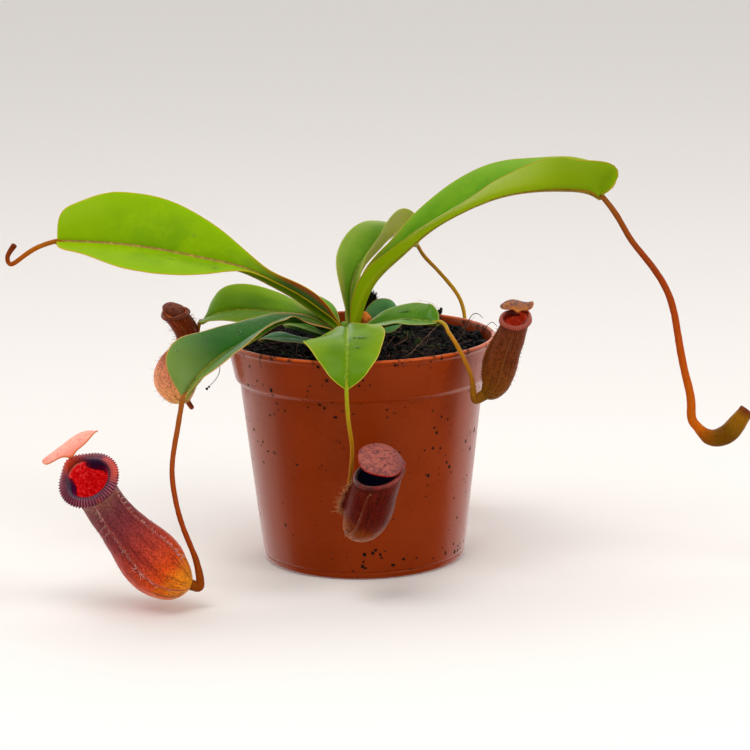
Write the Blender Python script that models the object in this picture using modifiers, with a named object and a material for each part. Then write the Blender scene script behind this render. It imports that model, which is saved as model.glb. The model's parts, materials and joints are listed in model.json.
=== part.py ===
"""A potted pitcher plant, a hybrid of two tropical species, in a plastic nursery pot.

Metres, +Z up. The origin is the centre of the pot's flat base, -Y is the front and +X the right-hand
side seen from there. Sizes and places below are in millimetres, and MM turns them to metres as each
mesh is made.
"""

import math

import bmesh
import bpy
import numpy as np

MM = 0.001
GAP = 0.3

# The pot: a common 11 cm nursery pot
RIM_RADIUS = 55.0
POT_HEIGHT = 92.0
BAND_HEIGHT = 17.0
BAND_RADIUS = 51.8
BODY_RADIUS = 49.8
BASE_RADIUS = 41.7
WALL = 1.2
FLOOR_TOP = 2.7
FOOT_RECESS = 1.4
HOLE_RADIUS = 3.5
HOLE_RING = 29.5
HOLE_COUNT = 8
POT_STEPS = 40

# The soil and the tuft of moss on it
SOIL_LEVEL = 86.0
SOIL_LUMPS = 1.3
STEM_HOLE_DEPTH = 28.0
TUFT_PLACE = (3.0, 24.0)
TUFT_TOP = 106.0
TUFT_RADIUS = 5.6

# The stem
STEM_PLACE = (-6.5, 0.0)
STEM_RADIUS = 3.2
STEM_TOP = 97.5
STEM_FOOT = SOIL_LEVEL - STEM_HOLE_DEPTH + 6

# Blades, walls and joints of the plant
BLADE = 0.8
MIDRIB = 2.2
LEAF_BULGE = 0.22
LEAST_HALF_WIDTH = 0.8
NODE_GAP = 0.6
APPROACH = 2.4

# The pitchers' cups, the ring of each mouth and the lid over it
PITCHER_WALL = 1.1
WING_HEIGHT = 1.0
WING_PLACE = 2
FIRST_ROWS_CLOSER = 1.25
SLANT_FROM = 0.6
CUP_FLOOR_RADIUS = 0.25
RING_CORNERS = 7
RIB_HEIGHT = 0.1
LID = 0.9
LID_SIDES = 16
LID_DOME = 0.06
LID_NECK = 0.14
LID_DROP = 1.1

# Each leaf: where it leaves the stem (degrees from +X, height), the points that its midrib passes, and
# its stations from base to tip: share of the length, half widths left and right of the midrib, the
# degrees that each half is raised, and how far the margins lean towards the tip.
LEAVES = {
    "leaf_left": {
        "from": (184, 95.7), "off": -0.5,
        "midrib": [(-18, -1.5, 103), (-26.5, -2.5, 109.5), (-36, -4, 115.5), (-46, -6, 121), (-60, -7, 125),
                   (-82, -8, 130), (-104, -9, 133), (-121, -10, 134)],
        "stations": [(0, 2.0, 2.2, 40, 60, 0), (0.08, 3.5, 5.0, 25, 62, 0), (0.2, 3.2, 5.0, 20, 60, 0),
                     (0.3, 3.2, 4.2, 5, 60, 0), (0.38, 4.6, 7.2, -8, 60, 0), (0.46, 10.5, 12.8, -15, 59, 0),
                     (0.55, 17.5, 18.2, -16, 56, 0), (0.65, 22, 22.8, -16, 53, 0), (0.75, 22, 24.2, -16, 53, 0.3),
                     (0.85, 16.8, 22, -15, 57, 1), (0.93, 10.5, 16.5, -12, 61, 2.2), (0.98, 5, 8.5, -10, 63, 2.4),
                     (1, 1.2, 1.2, -5, 60, 0)],
        "rows": 19, "columns": 8,
    },
    "leaf_right": {
        "from": (-10, 96.0), "off": 0.3,
        "midrib": [(5, -4, 115.5), (15, -6, 125.5), (28, -9, 137), (41, -12, 144.8), (56, -15, 151),
                   (70, -18, 153.6), (83, -21, 154), (91, -23, 153), (96, -24, 150.5)],
        "stations": [(0, 2.2, 2.2, 55, 55, 0), (0.08, 4, 4, 62, 55, 0), (0.2, 5.8, 6, 66, 40, 0),
                     (0.3, 8, 8.5, 54, 20, 0), (0.4, 11.5, 12, 46, 9, 0), (0.5, 15.5, 16, 40, 6, 0),
                     (0.6, 19.5, 20, 34, 10, 0), (0.7, 21.5, 22, 30, 20, 0), (0.8, 21, 22, 28, 32, 0),
                     (0.88, 18, 19, 34, 46, 1), (0.94, 14, 16, 42, 56, 3), (0.98, 8, 11, 45, 62, 5),
                     (1, 1.2, 1.2, 30, 30, 0)],
        "rows": 19, "columns": 8,
    },
    "leaf_back": {
        "from": (55, 94.5), "off": 0.7,
        "midrib": [(-4, 8, 107), (0, 16, 118), (7, 25, 124), (14, 33, 129), (20, 40, 128), (24, 44, 122)],
        "stations": [(0, 2, 2, 50, 50, 0), (0.1, 3, 3, 50, 50, 0), (0.25, 6, 6, 40, 42, 0),
                     (0.4, 11, 11, 25, 46, 0), (0.55, 14, 12, 28, 56, 0), (0.7, 14, 11, 22, 68, 0),
                     (0.8, 12, 9.5, 15, 78, 0), (0.9, 8, 7.5, 15, 78, 0), (0.96, 4.5, 4.5, 10, 60, 0),
                     (1, 1, 1, 0, 30, 0)],
        "rows": 14, "columns": 8,
    },
    "leaf_left_low": {
        "from": (162, 92.7),
        "midrib": [(-19, 4, 98), (-29, 7, 100), (-40, 9, 101), (-52, 11, 101), (-60.5, 12.3, 99), (-66, 15, 96)],
        "stations": [(0, 1.3, 1.3, 30, 40, 0), (0.1, 2.2, 2.2, 20, 45, 0), (0.25, 5, 6, -4, 22, 0),
                     (0.4, 9, 11, -14, 25, 0), (0.55, 11, 13, -18, 34, 0), (0.7, 11, 13.2, -16, 44, 0),
                     (0.8, 9.8, 13, -12, 42, 0), (0.9, 6.8, 10.5, -10, 38, 0.6), (0.96, 4.4, 7, -8, 30, 1),
                     (1, 1, 1, 0, 10, 0)],
        "rows": 14, "columns": 6,
    },
    "leaf_front_left": {
        "from": (219, 92.0),
        "midrib": [(-16, -7, 98), (-24, -15, 102), (-33, -25, 103), (-41, -37, 100), (-53, -50, 95),
                   (-62, -61, 89), (-68, -68, 82)],
        "stations": [(0, 2, 2, 40, 40, 0), (0.1, 3, 3, -20, 24, 0), (0.2, 3.5, 3.5, -30, 28, 0),
                     (0.3, 5, 5, 10, 18, 0), (0.4, 8, 8, 18, 12, 0), (0.5, 11, 11, 28, 16, 0),
                     (0.6, 13, 13.5, 28, 22, 0), (0.7, 14, 15.5, 22, 26, 0), (0.8, 13, 16.5, 22, 36, 0),
                     (0.88, 10, 15.5, 24, 46, 0), (0.95, 6, 10.5, 30, 50, 0), (1, 1, 1, 20, 40, 0)],
        "rows": 16, "columns": 8,
    },
    "leaf_front": {
        "from": (271, 91.6),
        "midrib": [(-6, -15, 98), (-5.3, -28, 100), (-5.2, -40, 100), (-5.2, -48.5, 99.2), (-5.2, -56, 96.6),
                   (-5.2, -61, 92.8), (-5.4, -64.5, 88.4), (-5.5, -66.5, 83.8)],
        "stations": [(0, 1.5, 1.5, 40, 50, 0), (0.1, 2.3, 2.5, 45, 30, 0), (0.2, 3, 3.5, 30, 0, 0),
                     (0.3, 4.6, 7, 20, -10, 0), (0.4, 9, 13, 10, -15, -3), (0.5, 14.6, 17, 6, -14, -4),
                     (0.6, 15, 17.5, 1, -6, -1), (0.7, 13.5, 15, -6, -4, 0), (0.8, 12, 12, -6, -6, 0),
                     (0.88, 9.5, 9, 4, -6, 0), (0.95, 6, 5.5, 6, 2, 0), (1, 1, 1, 0, 0, 0)],
        "rows": 14, "columns": 8,
    },
    "leaf_front_right": {
        "from": (-34, 91.9),
        "midrib": [(2, -7.5, 96), (9.5, -11.5, 99), (18, -15.5, 101), (24, -19, 101), (31, -22, 101)],
        "stations": [(0, 1.6, 1.8, 40, 40, 0), (0.1, 2.0, 2.5, 40, 30, 0), (0.25, 4.4, 5, 34, 8, 0),
                     (0.4, 8, 8, 34, 2, 0), (0.55, 10, 10, 30, -2, 0), (0.7, 10, 10, 34, 0, 0),
                     (0.8, 9, 9, 40, 0, 0), (0.9, 7, 7, 50, 2, 1), (0.96, 4, 4, 30, 2, 1),
                     (1, 1, 1, 10, 0, 0)],
        "rows": 12, "columns": 6,
    },
    "leaf_back_right": {
        "from": (34, 90.5),
        "midrib": [(1.2, 8.8, 94), (7.5, 13.4, 96.5), (13.5, 17, 96.8), (18, 20.5, 94.8)],
        "stations": [(0, 1.8, 1.8, 50, 30, 0), (0.15, 2.2, 2.5, 55, 10, 0), (0.35, 3.8, 6, 62, -30, 0),
                     (0.55, 8.2, 9, 66, -38, 0), (0.75, 8.2, 8, 60, -35, 0), (0.9, 5, 4.5, 50, -25, 0),
                     (1, 0.8, 0.8, 30, 0, 0)],
        "rows": 10, "columns": 6,
    },
    "leaf_soil_left": {
        "from": (228, 88.6),
        "midrib": [(-13.5, -6.4, 89.9), (-22, -10.3, 92.2), (-31, -13.5, 94), (-40, -17, 94.5)],
        "stations": [(0, 1.6, 1.6, 40, 40, 0), (0.15, 2.2, 2.2, 20, 30, 0), (0.4, 5, 4.5, -8, 2, 0),
                     (0.65, 6.5, 6.5, -8, 8, 0), (0.85, 4.5, 4.5, -8, 12, 0), (1, 0.8, 0.8, 0, 0, 0)],
        "rows": 9, "columns": 6,
    },
    "leaf_narrow": {
        "from": (186, 89.3),
        "midrib": [(-14, -1.2, 91.6), (-18, -3, 94.3), (-24, -5.2, 97), (-30, -7, 98.4)],
        "stations": [(0, 1.6, 1.6, 40, 40, 0), (0.15, 2, 2, 20, 30, 0), (0.5, 3.2, 3.2, -10, 25, 0),
                     (0.8, 2.4, 2.4, -10, 25, 0), (1, 0.8, 0.8, 0, 0, 0)],
        "rows": 8, "columns": 6,
    },
    "leaf_back_left": {
        "from": (126, 90.9),
        "midrib": [(-12, 8.5, 97), (-18, 13.5, 100.5), (-24, 17, 102.5), (-29, 21, 103)],
        "stations": [(0, 1.6, 1.6, 40, 40, 0), (0.2, 2.5, 2.5, 10, 30, 0), (0.5, 6.5, 6.5, -15, 25, 0),
                     (0.75, 6.5, 6.5, -15, 30, 0), (0.9, 4, 4, -10, 25, 0), (1, 0.8, 0.8, 0, 0, 0)],
        "rows": 9, "columns": 6,
    },
}

# Each tendril: the leaf whose midrib it ends, the points that it passes, its radius at either end, the
# pitcher or bud that hangs from it, and how many points make its tube.
TENDRILS = {
    "tendril_left": {
        "leaf": "leaf_left", "radius": (1.0, 0.9), "count": 16,
        "points": [(-125, -10.5, 133.2), (-130.5, -11.5, 131), (-136.5, -12, 127), (-140.3, -12, 125.5),
                   (-141, -12, 127.8), (-139.6, -12, 130.8), (-138.1, -12, 132.9)],
    },
    "tendril_right": {
        "leaf": "leaf_right", "radius": (1.1, 1.7), "count": 25, "carries": "bud_right",
        "points": [(102, -25, 142.8), (107, -26, 134.1), (114, -27, 125), (120, -28, 116.2),
                   (123.3, -28.5, 108.5), (126, -29, 95), (129.4, -30, 77.7), (131.4, -30, 67)],
    },
    "tendril_back": {
        "leaf": "leaf_back", "radius": (0.8, 0.9), "count": 25, "carries": "back",
        "points": [(26.8, 47, 116.8), (32, 50, 110.6), (37, 53, 104.4), (41, 56, 98.6), (43.6, 59, 92.5),
                   (45, 64, 80), (46, 71, 58), (47.5, 75.5, 34), (46.5, 76, 20)],
    },
    "tendril_left_low": {
        "leaf": "leaf_left_low", "radius": (0.8, 0.9), "count": 20, "carries": "left_low",
        "points": [(-67.6, 18.2, 91.5), (-69, 22.8, 84.5), (-72, 25.8, 76), (-73.5, 25, 67), (-72.5, 19.5, 60.6)],
    },
    "tendril_front_left": {
        "leaf": "leaf_front_left", "radius": (1.0, 1.05), "count": 26, "carries": "front_left",
        "points": [(-70.6, -72, 69.1), (-72.8, -74, 53.9), (-72, -75, 44.7), (-70.2, -76, 36.2),
                   (-67.3, -77, 27.7), (-64.6, -77, 20.1), (-63.4, -77, 14)],
    },
    "tendril_front": {
        "leaf": "leaf_front", "radius": (0.8, 0.9), "count": 20, "carries": "front",
        "points": [(-5.3, -68.5, 76.7), (-4.8, -69, 70.1), (-3.8, -67.5, 61.6), (-4.2, -64.8, 53),
                   (-5.4, -61.0, 43), (-6.4, -60.4, 35.5)],
    },
    "tendril_front_right": {
        "leaf": "leaf_front_right", "radius": (0.8, 0.9), "count": 20, "carries": "front_right",
        "points": [(33.2, -25, 100.6), (34.6, -31, 98.9), (36.6, -37.4, 96.6), (39, -42, 92.9), (42.2, -46.5, 86.5),
                   (43.6, -48, 81.5)],
    },
}

# Each pitcher: the points of its axis from the tendril to the mouth, its radius at shares of that
# length, the side that its wings face, the mouth's normal, the peristome's inner and outer radius and
# ribs, the lid's middle, direction from hinge to tip, upper side, length and width, the height of the
# cup's floor as a share of the axis, and how many sides and rows make the body.
PITCHERS = {
    "front_left": {
        "axis": [(-66.2, -77, 9.6), (-73, -77, 12.6), (-81, -77, 19.3), (-89.3, -79, 30),
                 (-96.5, -82.5, 41), (-100.7, -87, 50), (-102.6, -91, 55.2)],
        "radii": [(0, 1.1), (0.03, 4.6), (0.08, 7.9), (0.18, 11.0), (0.3, 12.0), (0.4, 11.2), (0.5, 9.8),
                  (0.6, 8.6), (0.75, 8.0), (0.88, 8.1), (1, 8.8)],
        "front": (0.19, -0.95, 0.35), "mouth": (-0.25, -0.68, 0.69), "ring": (6.9, 11.6), "ribs": 17,
        "lid": ((-111.3, -73.2, 64.1), (-0.1, 0.99, 0.06), (-0.5, -0.05, 0.87), 22.5, 24.3),
        "floor": 0.3, "sides": 20, "rows": 13,
    },
    "front": {
        "axis": [(-4.7, -65.5, 30.4), (-2, -69.5, 31), (0.9, -72, 34.6), (2.9, -74, 40),
                 (4.4, -75.3, 45.5), (6.3, -76.5, 51.6)],
        "radii": [(0, 1.1), (0.05, 3.6), (0.12, 6.0), (0.25, 8.3), (0.4, 9.1), (0.6, 9.3), (0.8, 9.1),
                  (1, 8.9)],
        "front": (-0.75, -0.6, 0.1), "mouth": (-0.16, -0.36, 0.92), "ring": (7.6, 9.8), "ribs": 14,
        "lid": ((7, -77.6, 58.6), (-0.97, -0.15, 0.2), (0.2, -0.45, 0.87), 17.5, 17),
        "floor": 0.3, "sides": 20, "rows": 11,
    },
    "front_right": {
        "axis": [(47.2, -48, 75.9), (51.2, -48, 79), (54.3, -48, 85.5), (56.7, -48, 93.4),
                 (59, -49, 100.7), (60.2, -50, 106)],
        "radii": [(0, 1.0), (0.05, 2.7), (0.14, 4.6), (0.25, 5.6), (0.4, 6.2), (0.6, 5.9), (0.8, 5.4),
                  (1, 5.4)],
        "front": (-0.7, -0.65, 0.2), "mouth": (0, -0.48, 0.87), "ring": (3.9, 6.2), "ribs": 12,
        "lid": ((61.2, -44.6, 111.2), (0, 0.97, 0.2), (0, -0.2, 0.98), 10, 13),
        "floor": 0.35, "sides": 16, "rows": 11,
    },
    "left_low": {
        "axis": [(-72.5, 14.5, 61.8), (-76, 14, 68), (-77.9, 14, 74.7), (-75.6, 14, 81.4),
                 (-72.1, 14, 87.7), (-73.5, 14, 94), (-76.2, 14, 98.5)],
        "radii": [(0, 1.0), (0.06, 4.8), (0.15, 7.6), (0.28, 8.8), (0.4, 7.6), (0.52, 5.2), (0.62, 4.3),
                  (0.75, 4.4), (0.88, 4.8), (1, 5.2)],
        "front": (0.8, -0.6, 0), "mouth": (-0.15, -0.25, 0.95), "ring": (3.7, 5.9), "ribs": 10,
        "lid": ((-77, 17.5, 102.9), (-0.1, 0.95, 0.3), (0, -0.3, 0.95), 9, 10),
        "floor": 0.35, "sides": 16, "rows": 12,
    },
    "back": {
        "axis": [(39, 76, 12.5), (32, 76.5, 14.5), (25.5, 77.5, 21), (21, 79, 31), (18.5, 80, 41),
                 (17.5, 81.5, 49)],
        "radii": [(0, 1.1), (0.05, 4.6), (0.13, 7.4), (0.25, 9.4), (0.38, 9.6), (0.55, 8.2), (0.7, 7.2),
                  (0.85, 7.0), (1, 7.4)],
        "front": (0.3, 0.9, 0.3), "mouth": (0.1, 0.55, 0.8), "ring": (5.8, 9.4), "ribs": 12,
        "lid": ((16.4, 65, 59), (-0.1, -0.9, 0.4), (0, 0.4, 0.9), 16, 18),
        "floor": 0.3, "sides": 16, "rows": 11,
    },
}

BUD_AXIS = [(134, -30, 58), (139.5, -30, 53.6), (146, -30, 55), (150.3, -30, 60), (153.5, -30, 64.3)]
BUD_RADII = [(0, 1.7), (0.2, 2.9), (0.4, 3.7), (0.6, 3.9), (0.8, 3.6), (0.95, 3.3), (1, 2.4)]
CROWN_BUD_AXIS = [(0.8, 2.4, 0), (1.1, 2.0, 4.4), (1.4, 1.5, 9), (1.7, 1.1, 13)]
CROWN_BUD_RADII = [(0, 1.0), (0.3, 1.3), (0.55, 2.1), (0.75, 2.8), (0.92, 2.6), (1, 1.7)]

COLOURS = {
    "pot": ((0.36, 0.07, 0.02), 0.3),
    "soil": ((0.02, 0.014, 0.01), 0.95),
    "moss": ((0.025, 0.02, 0.012), 0.95),
    "stem": ((0.12, 0.22, 0.02), 0.5),
    "leaf": ((0.12, 0.32, 0.01), 0.35),
    "tendril": ((0.42, 0.13, 0.02), 0.45),
    "pitcher": ((0.32, 0.05, 0.02), 0.4),
    "peristome": ((0.14, 0.01, 0.02), 0.3),
    "lid": ((0.6, 0.2, 0.14), 0.45),
    "bud": ((0.35, 0.22, 0.01), 0.45),
}


def clear_scene():
    for old in list(bpy.data.objects):
        bpy.data.objects.remove(old)


def new_collection(name):
    made = bpy.data.collections.new(name)
    bpy.context.scene.collection.children.link(made)
    return made


def unit(vector):
    vector = np.asarray(vector, float)
    return vector / np.linalg.norm(vector)


def spline(knots, values, where):
    """The natural cubic spline through values at knots, read at each place of where."""
    knots = np.asarray(knots, float)
    values = np.asarray(values, float).reshape(len(knots), -1)
    step = np.diff(knots)[:, None]
    slope = np.diff(values, axis=0) / step
    system = np.eye(len(knots))
    right = np.zeros_like(values)
    for i in range(1, len(knots) - 1):
        system[i, i - 1:i + 2] = step[i - 1, 0], 2 * (step[i - 1, 0] + step[i, 0]), step[i, 0]
        right[i] = 6 * (slope[i] - slope[i - 1])
    bend = np.linalg.solve(system, right)
    where = np.atleast_1d(np.asarray(where, float))
    i = np.clip(np.searchsorted(knots, where, side="right") - 1, 0, len(knots) - 2)
    d = (where - knots[i])[:, None]
    linear = slope[i] - step[i] * (2 * bend[i] + bend[i + 1]) / 6
    return values[i] + d * linear + d**2 * bend[i] / 2 + d**3 * (bend[i + 1] - bend[i]) / (6 * step[i])


def route(points, where):
    """The smooth curve through points at shares of its length, and its direction there."""
    points = np.asarray(points, float)
    along = np.concatenate([[0], np.cumsum(np.linalg.norm(np.diff(points, axis=0), axis=1))])
    along /= along[-1]
    where = np.atleast_1d(np.asarray(where, float))
    nudge = 1e-4
    ahead = spline(along, points, np.minimum(where + nudge, 1))
    behind = spline(along, points, np.maximum(where - nudge, 0))
    direction = ahead - behind
    return spline(along, points, where), direction / np.linalg.norm(direction, axis=1)[:, None]


def read_stations(stations, where):
    """The columns after the first of a list of stations, as smooth functions of the first."""
    table = np.asarray(stations, float)
    return spline(table[:, 0], table[:, 1:], where).T


def material(slot):
    colour, roughness = COLOURS[slot]
    made = bpy.data.materials.get(slot) or bpy.data.materials.new(slot)
    made.use_nodes = True
    shader = made.node_tree.nodes["Principled BSDF"]
    shader.inputs["Base Color"].default_value = (*colour, 1)
    shader.inputs["Roughness"].default_value = roughness
    made.diffuse_color = (*colour, 1)
    return made


def add_mesh(name, points, faces, slot, collection, closed=True):
    """An object of these points in millimetres; a closed one has its faces turned outwards."""
    mesh = bpy.data.meshes.new(name)
    mesh.from_pydata((np.asarray(points) * MM).tolist(), [], faces)
    if closed:
        work = bmesh.new()
        work.from_mesh(mesh)
        bmesh.ops.recalc_face_normals(work, faces=work.faces)
        work.to_mesh(mesh)
        work.free()
    mesh.materials.append(material(slot))
    mesh.shade_smooth()
    made = bpy.data.objects.new(name, mesh)
    collection.objects.link(made)
    return made


def loft(name, rings, slot, collection, loop=False):
    """Rings of equal count skinned one to the next, closed by a point in the middle of either end.

    With loop, the last ring is joined to the first instead.
    """
    rows, count = rings.shape[:2]
    points = rings.reshape(-1, 3)
    faces = []
    for row in range(rows if loop else rows - 1):
        for column in range(count):
            ahead = (column + 1) % count
            here, there = row * count, (row + 1) % rows * count
            faces.append((here + column, here + ahead, there + ahead, there + column))
    if not loop:
        points = np.vstack([points, rings[0].mean(axis=0), rings[-1].mean(axis=0)])
        last = (rows - 1) * count
        for column in range(count):
            ahead = (column + 1) % count
            faces.append((rows * count, column, ahead))
            faces.append((rows * count + 1, last + column, last + ahead))
    return add_mesh(name, points, faces, slot, collection)


def pot_profile():
    """The pot's section, from the middle of the inner floor, over the rim and down to the middle below."""
    band_foot = POT_HEIGHT - BAND_HEIGHT
    inner = [(0, FLOOR_TOP), (BASE_RADIUS - 2.6, FLOOR_TOP), (BASE_RADIUS - WALL - 0.3, FLOOR_TOP + 1.4),
             (BODY_RADIUS - WALL, band_foot - 1.5), (BAND_RADIUS - WALL, band_foot + 2),
             (RIM_RADIUS - WALL - 0.8, POT_HEIGHT - 2), (RIM_RADIUS - WALL - 0.4, POT_HEIGHT - 0.2)]
    outer = [(RIM_RADIUS - 0.6, POT_HEIGHT), (RIM_RADIUS, POT_HEIGHT - 0.7), (RIM_RADIUS, POT_HEIGHT - 1.7),
             (RIM_RADIUS - 0.6, POT_HEIGHT - 2.5), (BAND_RADIUS, band_foot + 1.2),
             (BAND_RADIUS - 0.5, band_foot + 0.3), (BODY_RADIUS, band_foot - 0.6),
             (BASE_RADIUS + 0.1, 3.4), (BASE_RADIUS - 0.4, 3.0), (BASE_RADIUS - 0.1, 2.4),
             (BASE_RADIUS - 0.3, 0.8), (BASE_RADIUS - 1.2, 0)]
    below = [(BASE_RADIUS - 4.2, 0), (BASE_RADIUS - 5.2, FOOT_RECESS), (HOLE_RING - 7.5, FOOT_RECESS),
             (HOLE_RING - 8.5, 0), (0, 0)]
    return inner, outer, below


def inner_radius(height):
    """The pot's inner radius at a height."""
    wall = pot_profile()[0][1:]
    return float(np.interp(height, [z for _, z in wall], [r for r, _ in wall]))


def pot(collection, cutters):
    profile = sum(pot_profile(), [])
    mesh = bpy.data.meshes.new("pot")
    points = [(r * MM, 0, z * MM) for r, z in profile]
    mesh.from_pydata(points, [(i, i + 1) for i in range(len(points) - 1)], [])
    mesh.materials.append(material("pot"))
    made = bpy.data.objects.new("pot", mesh)
    collection.objects.link(made)
    turn = made.modifiers.new("turn", "SCREW")
    turn.steps = turn.render_steps = POT_STEPS
    turn.use_merge_vertices = True
    turn.merge_threshold = 1e-5
    turn.use_smooth_shade = True
    holes = bmesh.new()
    for i in range(HOLE_COUNT):
        angle = 2 * math.pi * (i + 0.5) / HOLE_COUNT
        drill = bmesh.ops.create_cone(
            holes, cap_ends=True, segments=10, radius1=HOLE_RADIUS * MM, radius2=HOLE_RADIUS * MM,
            depth=8 * MM)
        place = (HOLE_RING * math.cos(angle) * MM, HOLE_RING * math.sin(angle) * MM, FOOT_RECESS * MM)
        bmesh.ops.translate(holes, verts=drill["verts"], vec=place)
    cutter_mesh = bpy.data.meshes.new("drainage_holes")
    holes.to_mesh(cutter_mesh)
    holes.free()
    cutter = bpy.data.objects.new("drainage_holes", cutter_mesh)
    cutter.hide_render = True
    cutter.display_type = "WIRE"
    cutters.objects.link(cutter)
    cut = made.modifiers.new("drainage", "BOOLEAN")
    cut.operation = "DIFFERENCE"
    cut.object = cutter


def soil_height(x, y):
    """The soil's lumpy top: waves of three sizes, a low mound at the stem and a flat spot for the tuft."""
    x, y = np.asarray(x, float), np.asarray(y, float)
    lumps = np.sin(x / 5.3 + 1.1) * np.sin(y / 4.7 + 0.4) + 0.6 * np.sin(x / 2.9 - y / 3.4 + 2)
    lumps += 0.8 * np.sin(x / 11 + 2) * np.sin(y / 9)
    tuft = np.hypot(x - TUFT_PLACE[0], y - TUFT_PLACE[1])
    stem = np.hypot(x - STEM_PLACE[0], y - STEM_PLACE[1])
    level = 1 / (1 + np.exp((TUFT_RADIUS + 2.5 - tuft) * 1.5))
    calm = level * np.clip((stem - 5) / 12, 0, 1)
    return SOIL_LEVEL + SOIL_LUMPS * lumps * calm + 0.8 * np.exp(-(stem / 9) ** 2)


def soil(collection):
    """One skin from the bottom of the stem's hole, up and out to the wall, and down it to the floor."""
    sides = POT_STEPS
    angle = np.arange(sides) * 2 * math.pi / sides
    circle = np.stack([np.cos(angle), np.sin(angle)], 1)
    middle = np.array(STEM_PLACE)
    hole = STEM_RADIUS + GAP
    edge = inner_radius(SOIL_LEVEL - 3) - GAP
    rings = [np.column_stack([middle + circle * hole, np.full(sides, SOIL_LEVEL - STEM_HOLE_DEPTH)])]
    for share in (0, 0.06, 0.14, 0.24, 0.35, 0.47, 0.6, 0.73, 0.86, 1):
        flat = middle * (1 - share) + circle * (hole + (edge - hole) * share)
        rings.append(np.column_stack([flat, soil_height(flat[:, 0], flat[:, 1])]))
    band_foot = POT_HEIGHT - BAND_HEIGHT
    for height in (band_foot + 1.8, band_foot - 1.8, FLOOR_TOP + 1.8, FLOOR_TOP + GAP):
        radius = inner_radius(height) - GAP if height > FLOOR_TOP + 1 else BASE_RADIUS - 3.4
        rings.append(np.column_stack([circle * radius, np.full(sides, height)]))
    loft("soil", np.array(rings), "soil", collection)


def moss_clump(collection):
    """A ragged column on the soil's flat spot: rings that lean, narrow and wander a little."""
    sides = 12
    angle = np.arange(sides) * 2 * math.pi / sides
    foot = float(soil_height(*TUFT_PLACE)) + 1.7 * GAP
    rings = []
    for share, wide in ((0, 0.9), (0.12, 1.0), (0.35, 0.85), (0.6, 0.8), (0.82, 0.6), (1, 0.22)):
        radius = TUFT_RADIUS * wide * (1 + 0.14 * np.sin(3 * angle + 9 * share) * min(share * 4, 1))
        x = TUFT_PLACE[0] + radius * np.cos(angle) + 1.2 * share
        y = TUFT_PLACE[1] + radius * np.sin(angle)
        ragged = np.sin(4 * angle + 2) * min(share, 0.5)
        rings.append(np.column_stack([x, y, foot + (TUFT_TOP - foot) * share + ragged]))
    loft("moss_clump", np.array(rings), "moss", collection)


def tube(name, points, radii, slot, collection):
    """A wire with round section through the points, in a width of its own at each."""
    curve = bpy.data.curves.new(name, "CURVE")
    curve.dimensions = "3D"
    curve.bevel_depth = MM
    curve.bevel_resolution = 2
    curve.use_fill_caps = True
    line = curve.splines.new("POLY")
    line.points.add(len(points) - 1)
    for point, place, radius in zip(line.points, points, radii):
        point.co = (*(np.asarray(place) * MM), 1)
        point.radius = radius
    curve.materials.append(material(slot))
    made = bpy.data.objects.new(name, curve)
    collection.objects.link(made)


def stem(collection):
    heights = np.array([STEM_FOOT, SOIL_LEVEL, STEM_TOP - 4, STEM_TOP - 1, STEM_TOP])
    radii = np.array([0.9, 1, 0.9, 0.6, 0.3]) * STEM_RADIUS
    tube("stem", [(*STEM_PLACE, z) for z in heights], radii, "stem", collection)


def leaf_midrib(data):
    """The midrib's points, from just off the stem's side to the tip."""
    degrees, height = data["from"]
    turn = math.radians(degrees)
    off = STEM_RADIUS + NODE_GAP + data.get("off", 0)
    base = (STEM_PLACE[0] + off * math.cos(turn), STEM_PLACE[1] + off * math.sin(turn), height)
    return [base, *data["midrib"]]


def leaf_grid(data, along, across):
    """A blade: each half runs out from the midrib at its own slope, bulged a little between.

    along goes from base (0) to tip (1), and across from the left margin (-1) to the right one (1).
    """
    middle, ahead = route(leaf_midrib(data), along)
    side = np.cross(ahead, (0, 0, 1))
    side /= np.linalg.norm(side, axis=1)[:, None]
    up = np.cross(side, ahead)
    left, right, left_lift, right_lift, lean = read_stations(data["stations"], along)
    points = []
    for share in across:
        width, lift = (left, left_lift) if share < 0 else (right, right_lift)
        sign = -1 if share < 0 else 1
        turn = np.radians(lift)[:, None]
        out = np.cos(turn) * side * sign + np.sin(turn) * up
        over = np.cos(turn) * up - np.sin(turn) * side * sign
        reach = np.clip(width, LEAST_HALF_WIDTH, None)[:, None] * abs(share)
        bulge = LEAF_BULGE * reach * (1 - abs(share))
        points.append(middle + out * reach + over * bulge + ahead * (lean * share**2)[:, None])
    return np.stack(points, 1)


def leaf(name, data, collection):
    """The blade's upper face, split into triangles, then thickened below, most under the midrib."""
    rows, columns = data["rows"], data["columns"]
    across = np.linspace(-1, 1, columns + 1)
    grid = leaf_grid(data, np.linspace(0, 1, rows + 1), across)
    faces = []
    for row in range(rows):
        for column in range(columns):
            a = row * (columns + 1) + column
            b = a + columns + 1
            faces += [(a, a + 1, b + 1), (a, b + 1, b)]
    made = add_mesh(name, grid.reshape(-1, 3), faces, "leaf", collection, closed=False)
    rib = made.vertex_groups.new(name="rib")
    for row in range(rows + 1):
        rib.add([row * (columns + 1) + columns // 2], 1, "REPLACE")
    thick = made.modifiers.new("thickness", "SOLIDIFY")
    thick.thickness = MIDRIB * MM
    thick.offset = -1
    thick.vertex_group = "rib"
    thick.thickness_vertex_group = BLADE / MIDRIB


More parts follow.
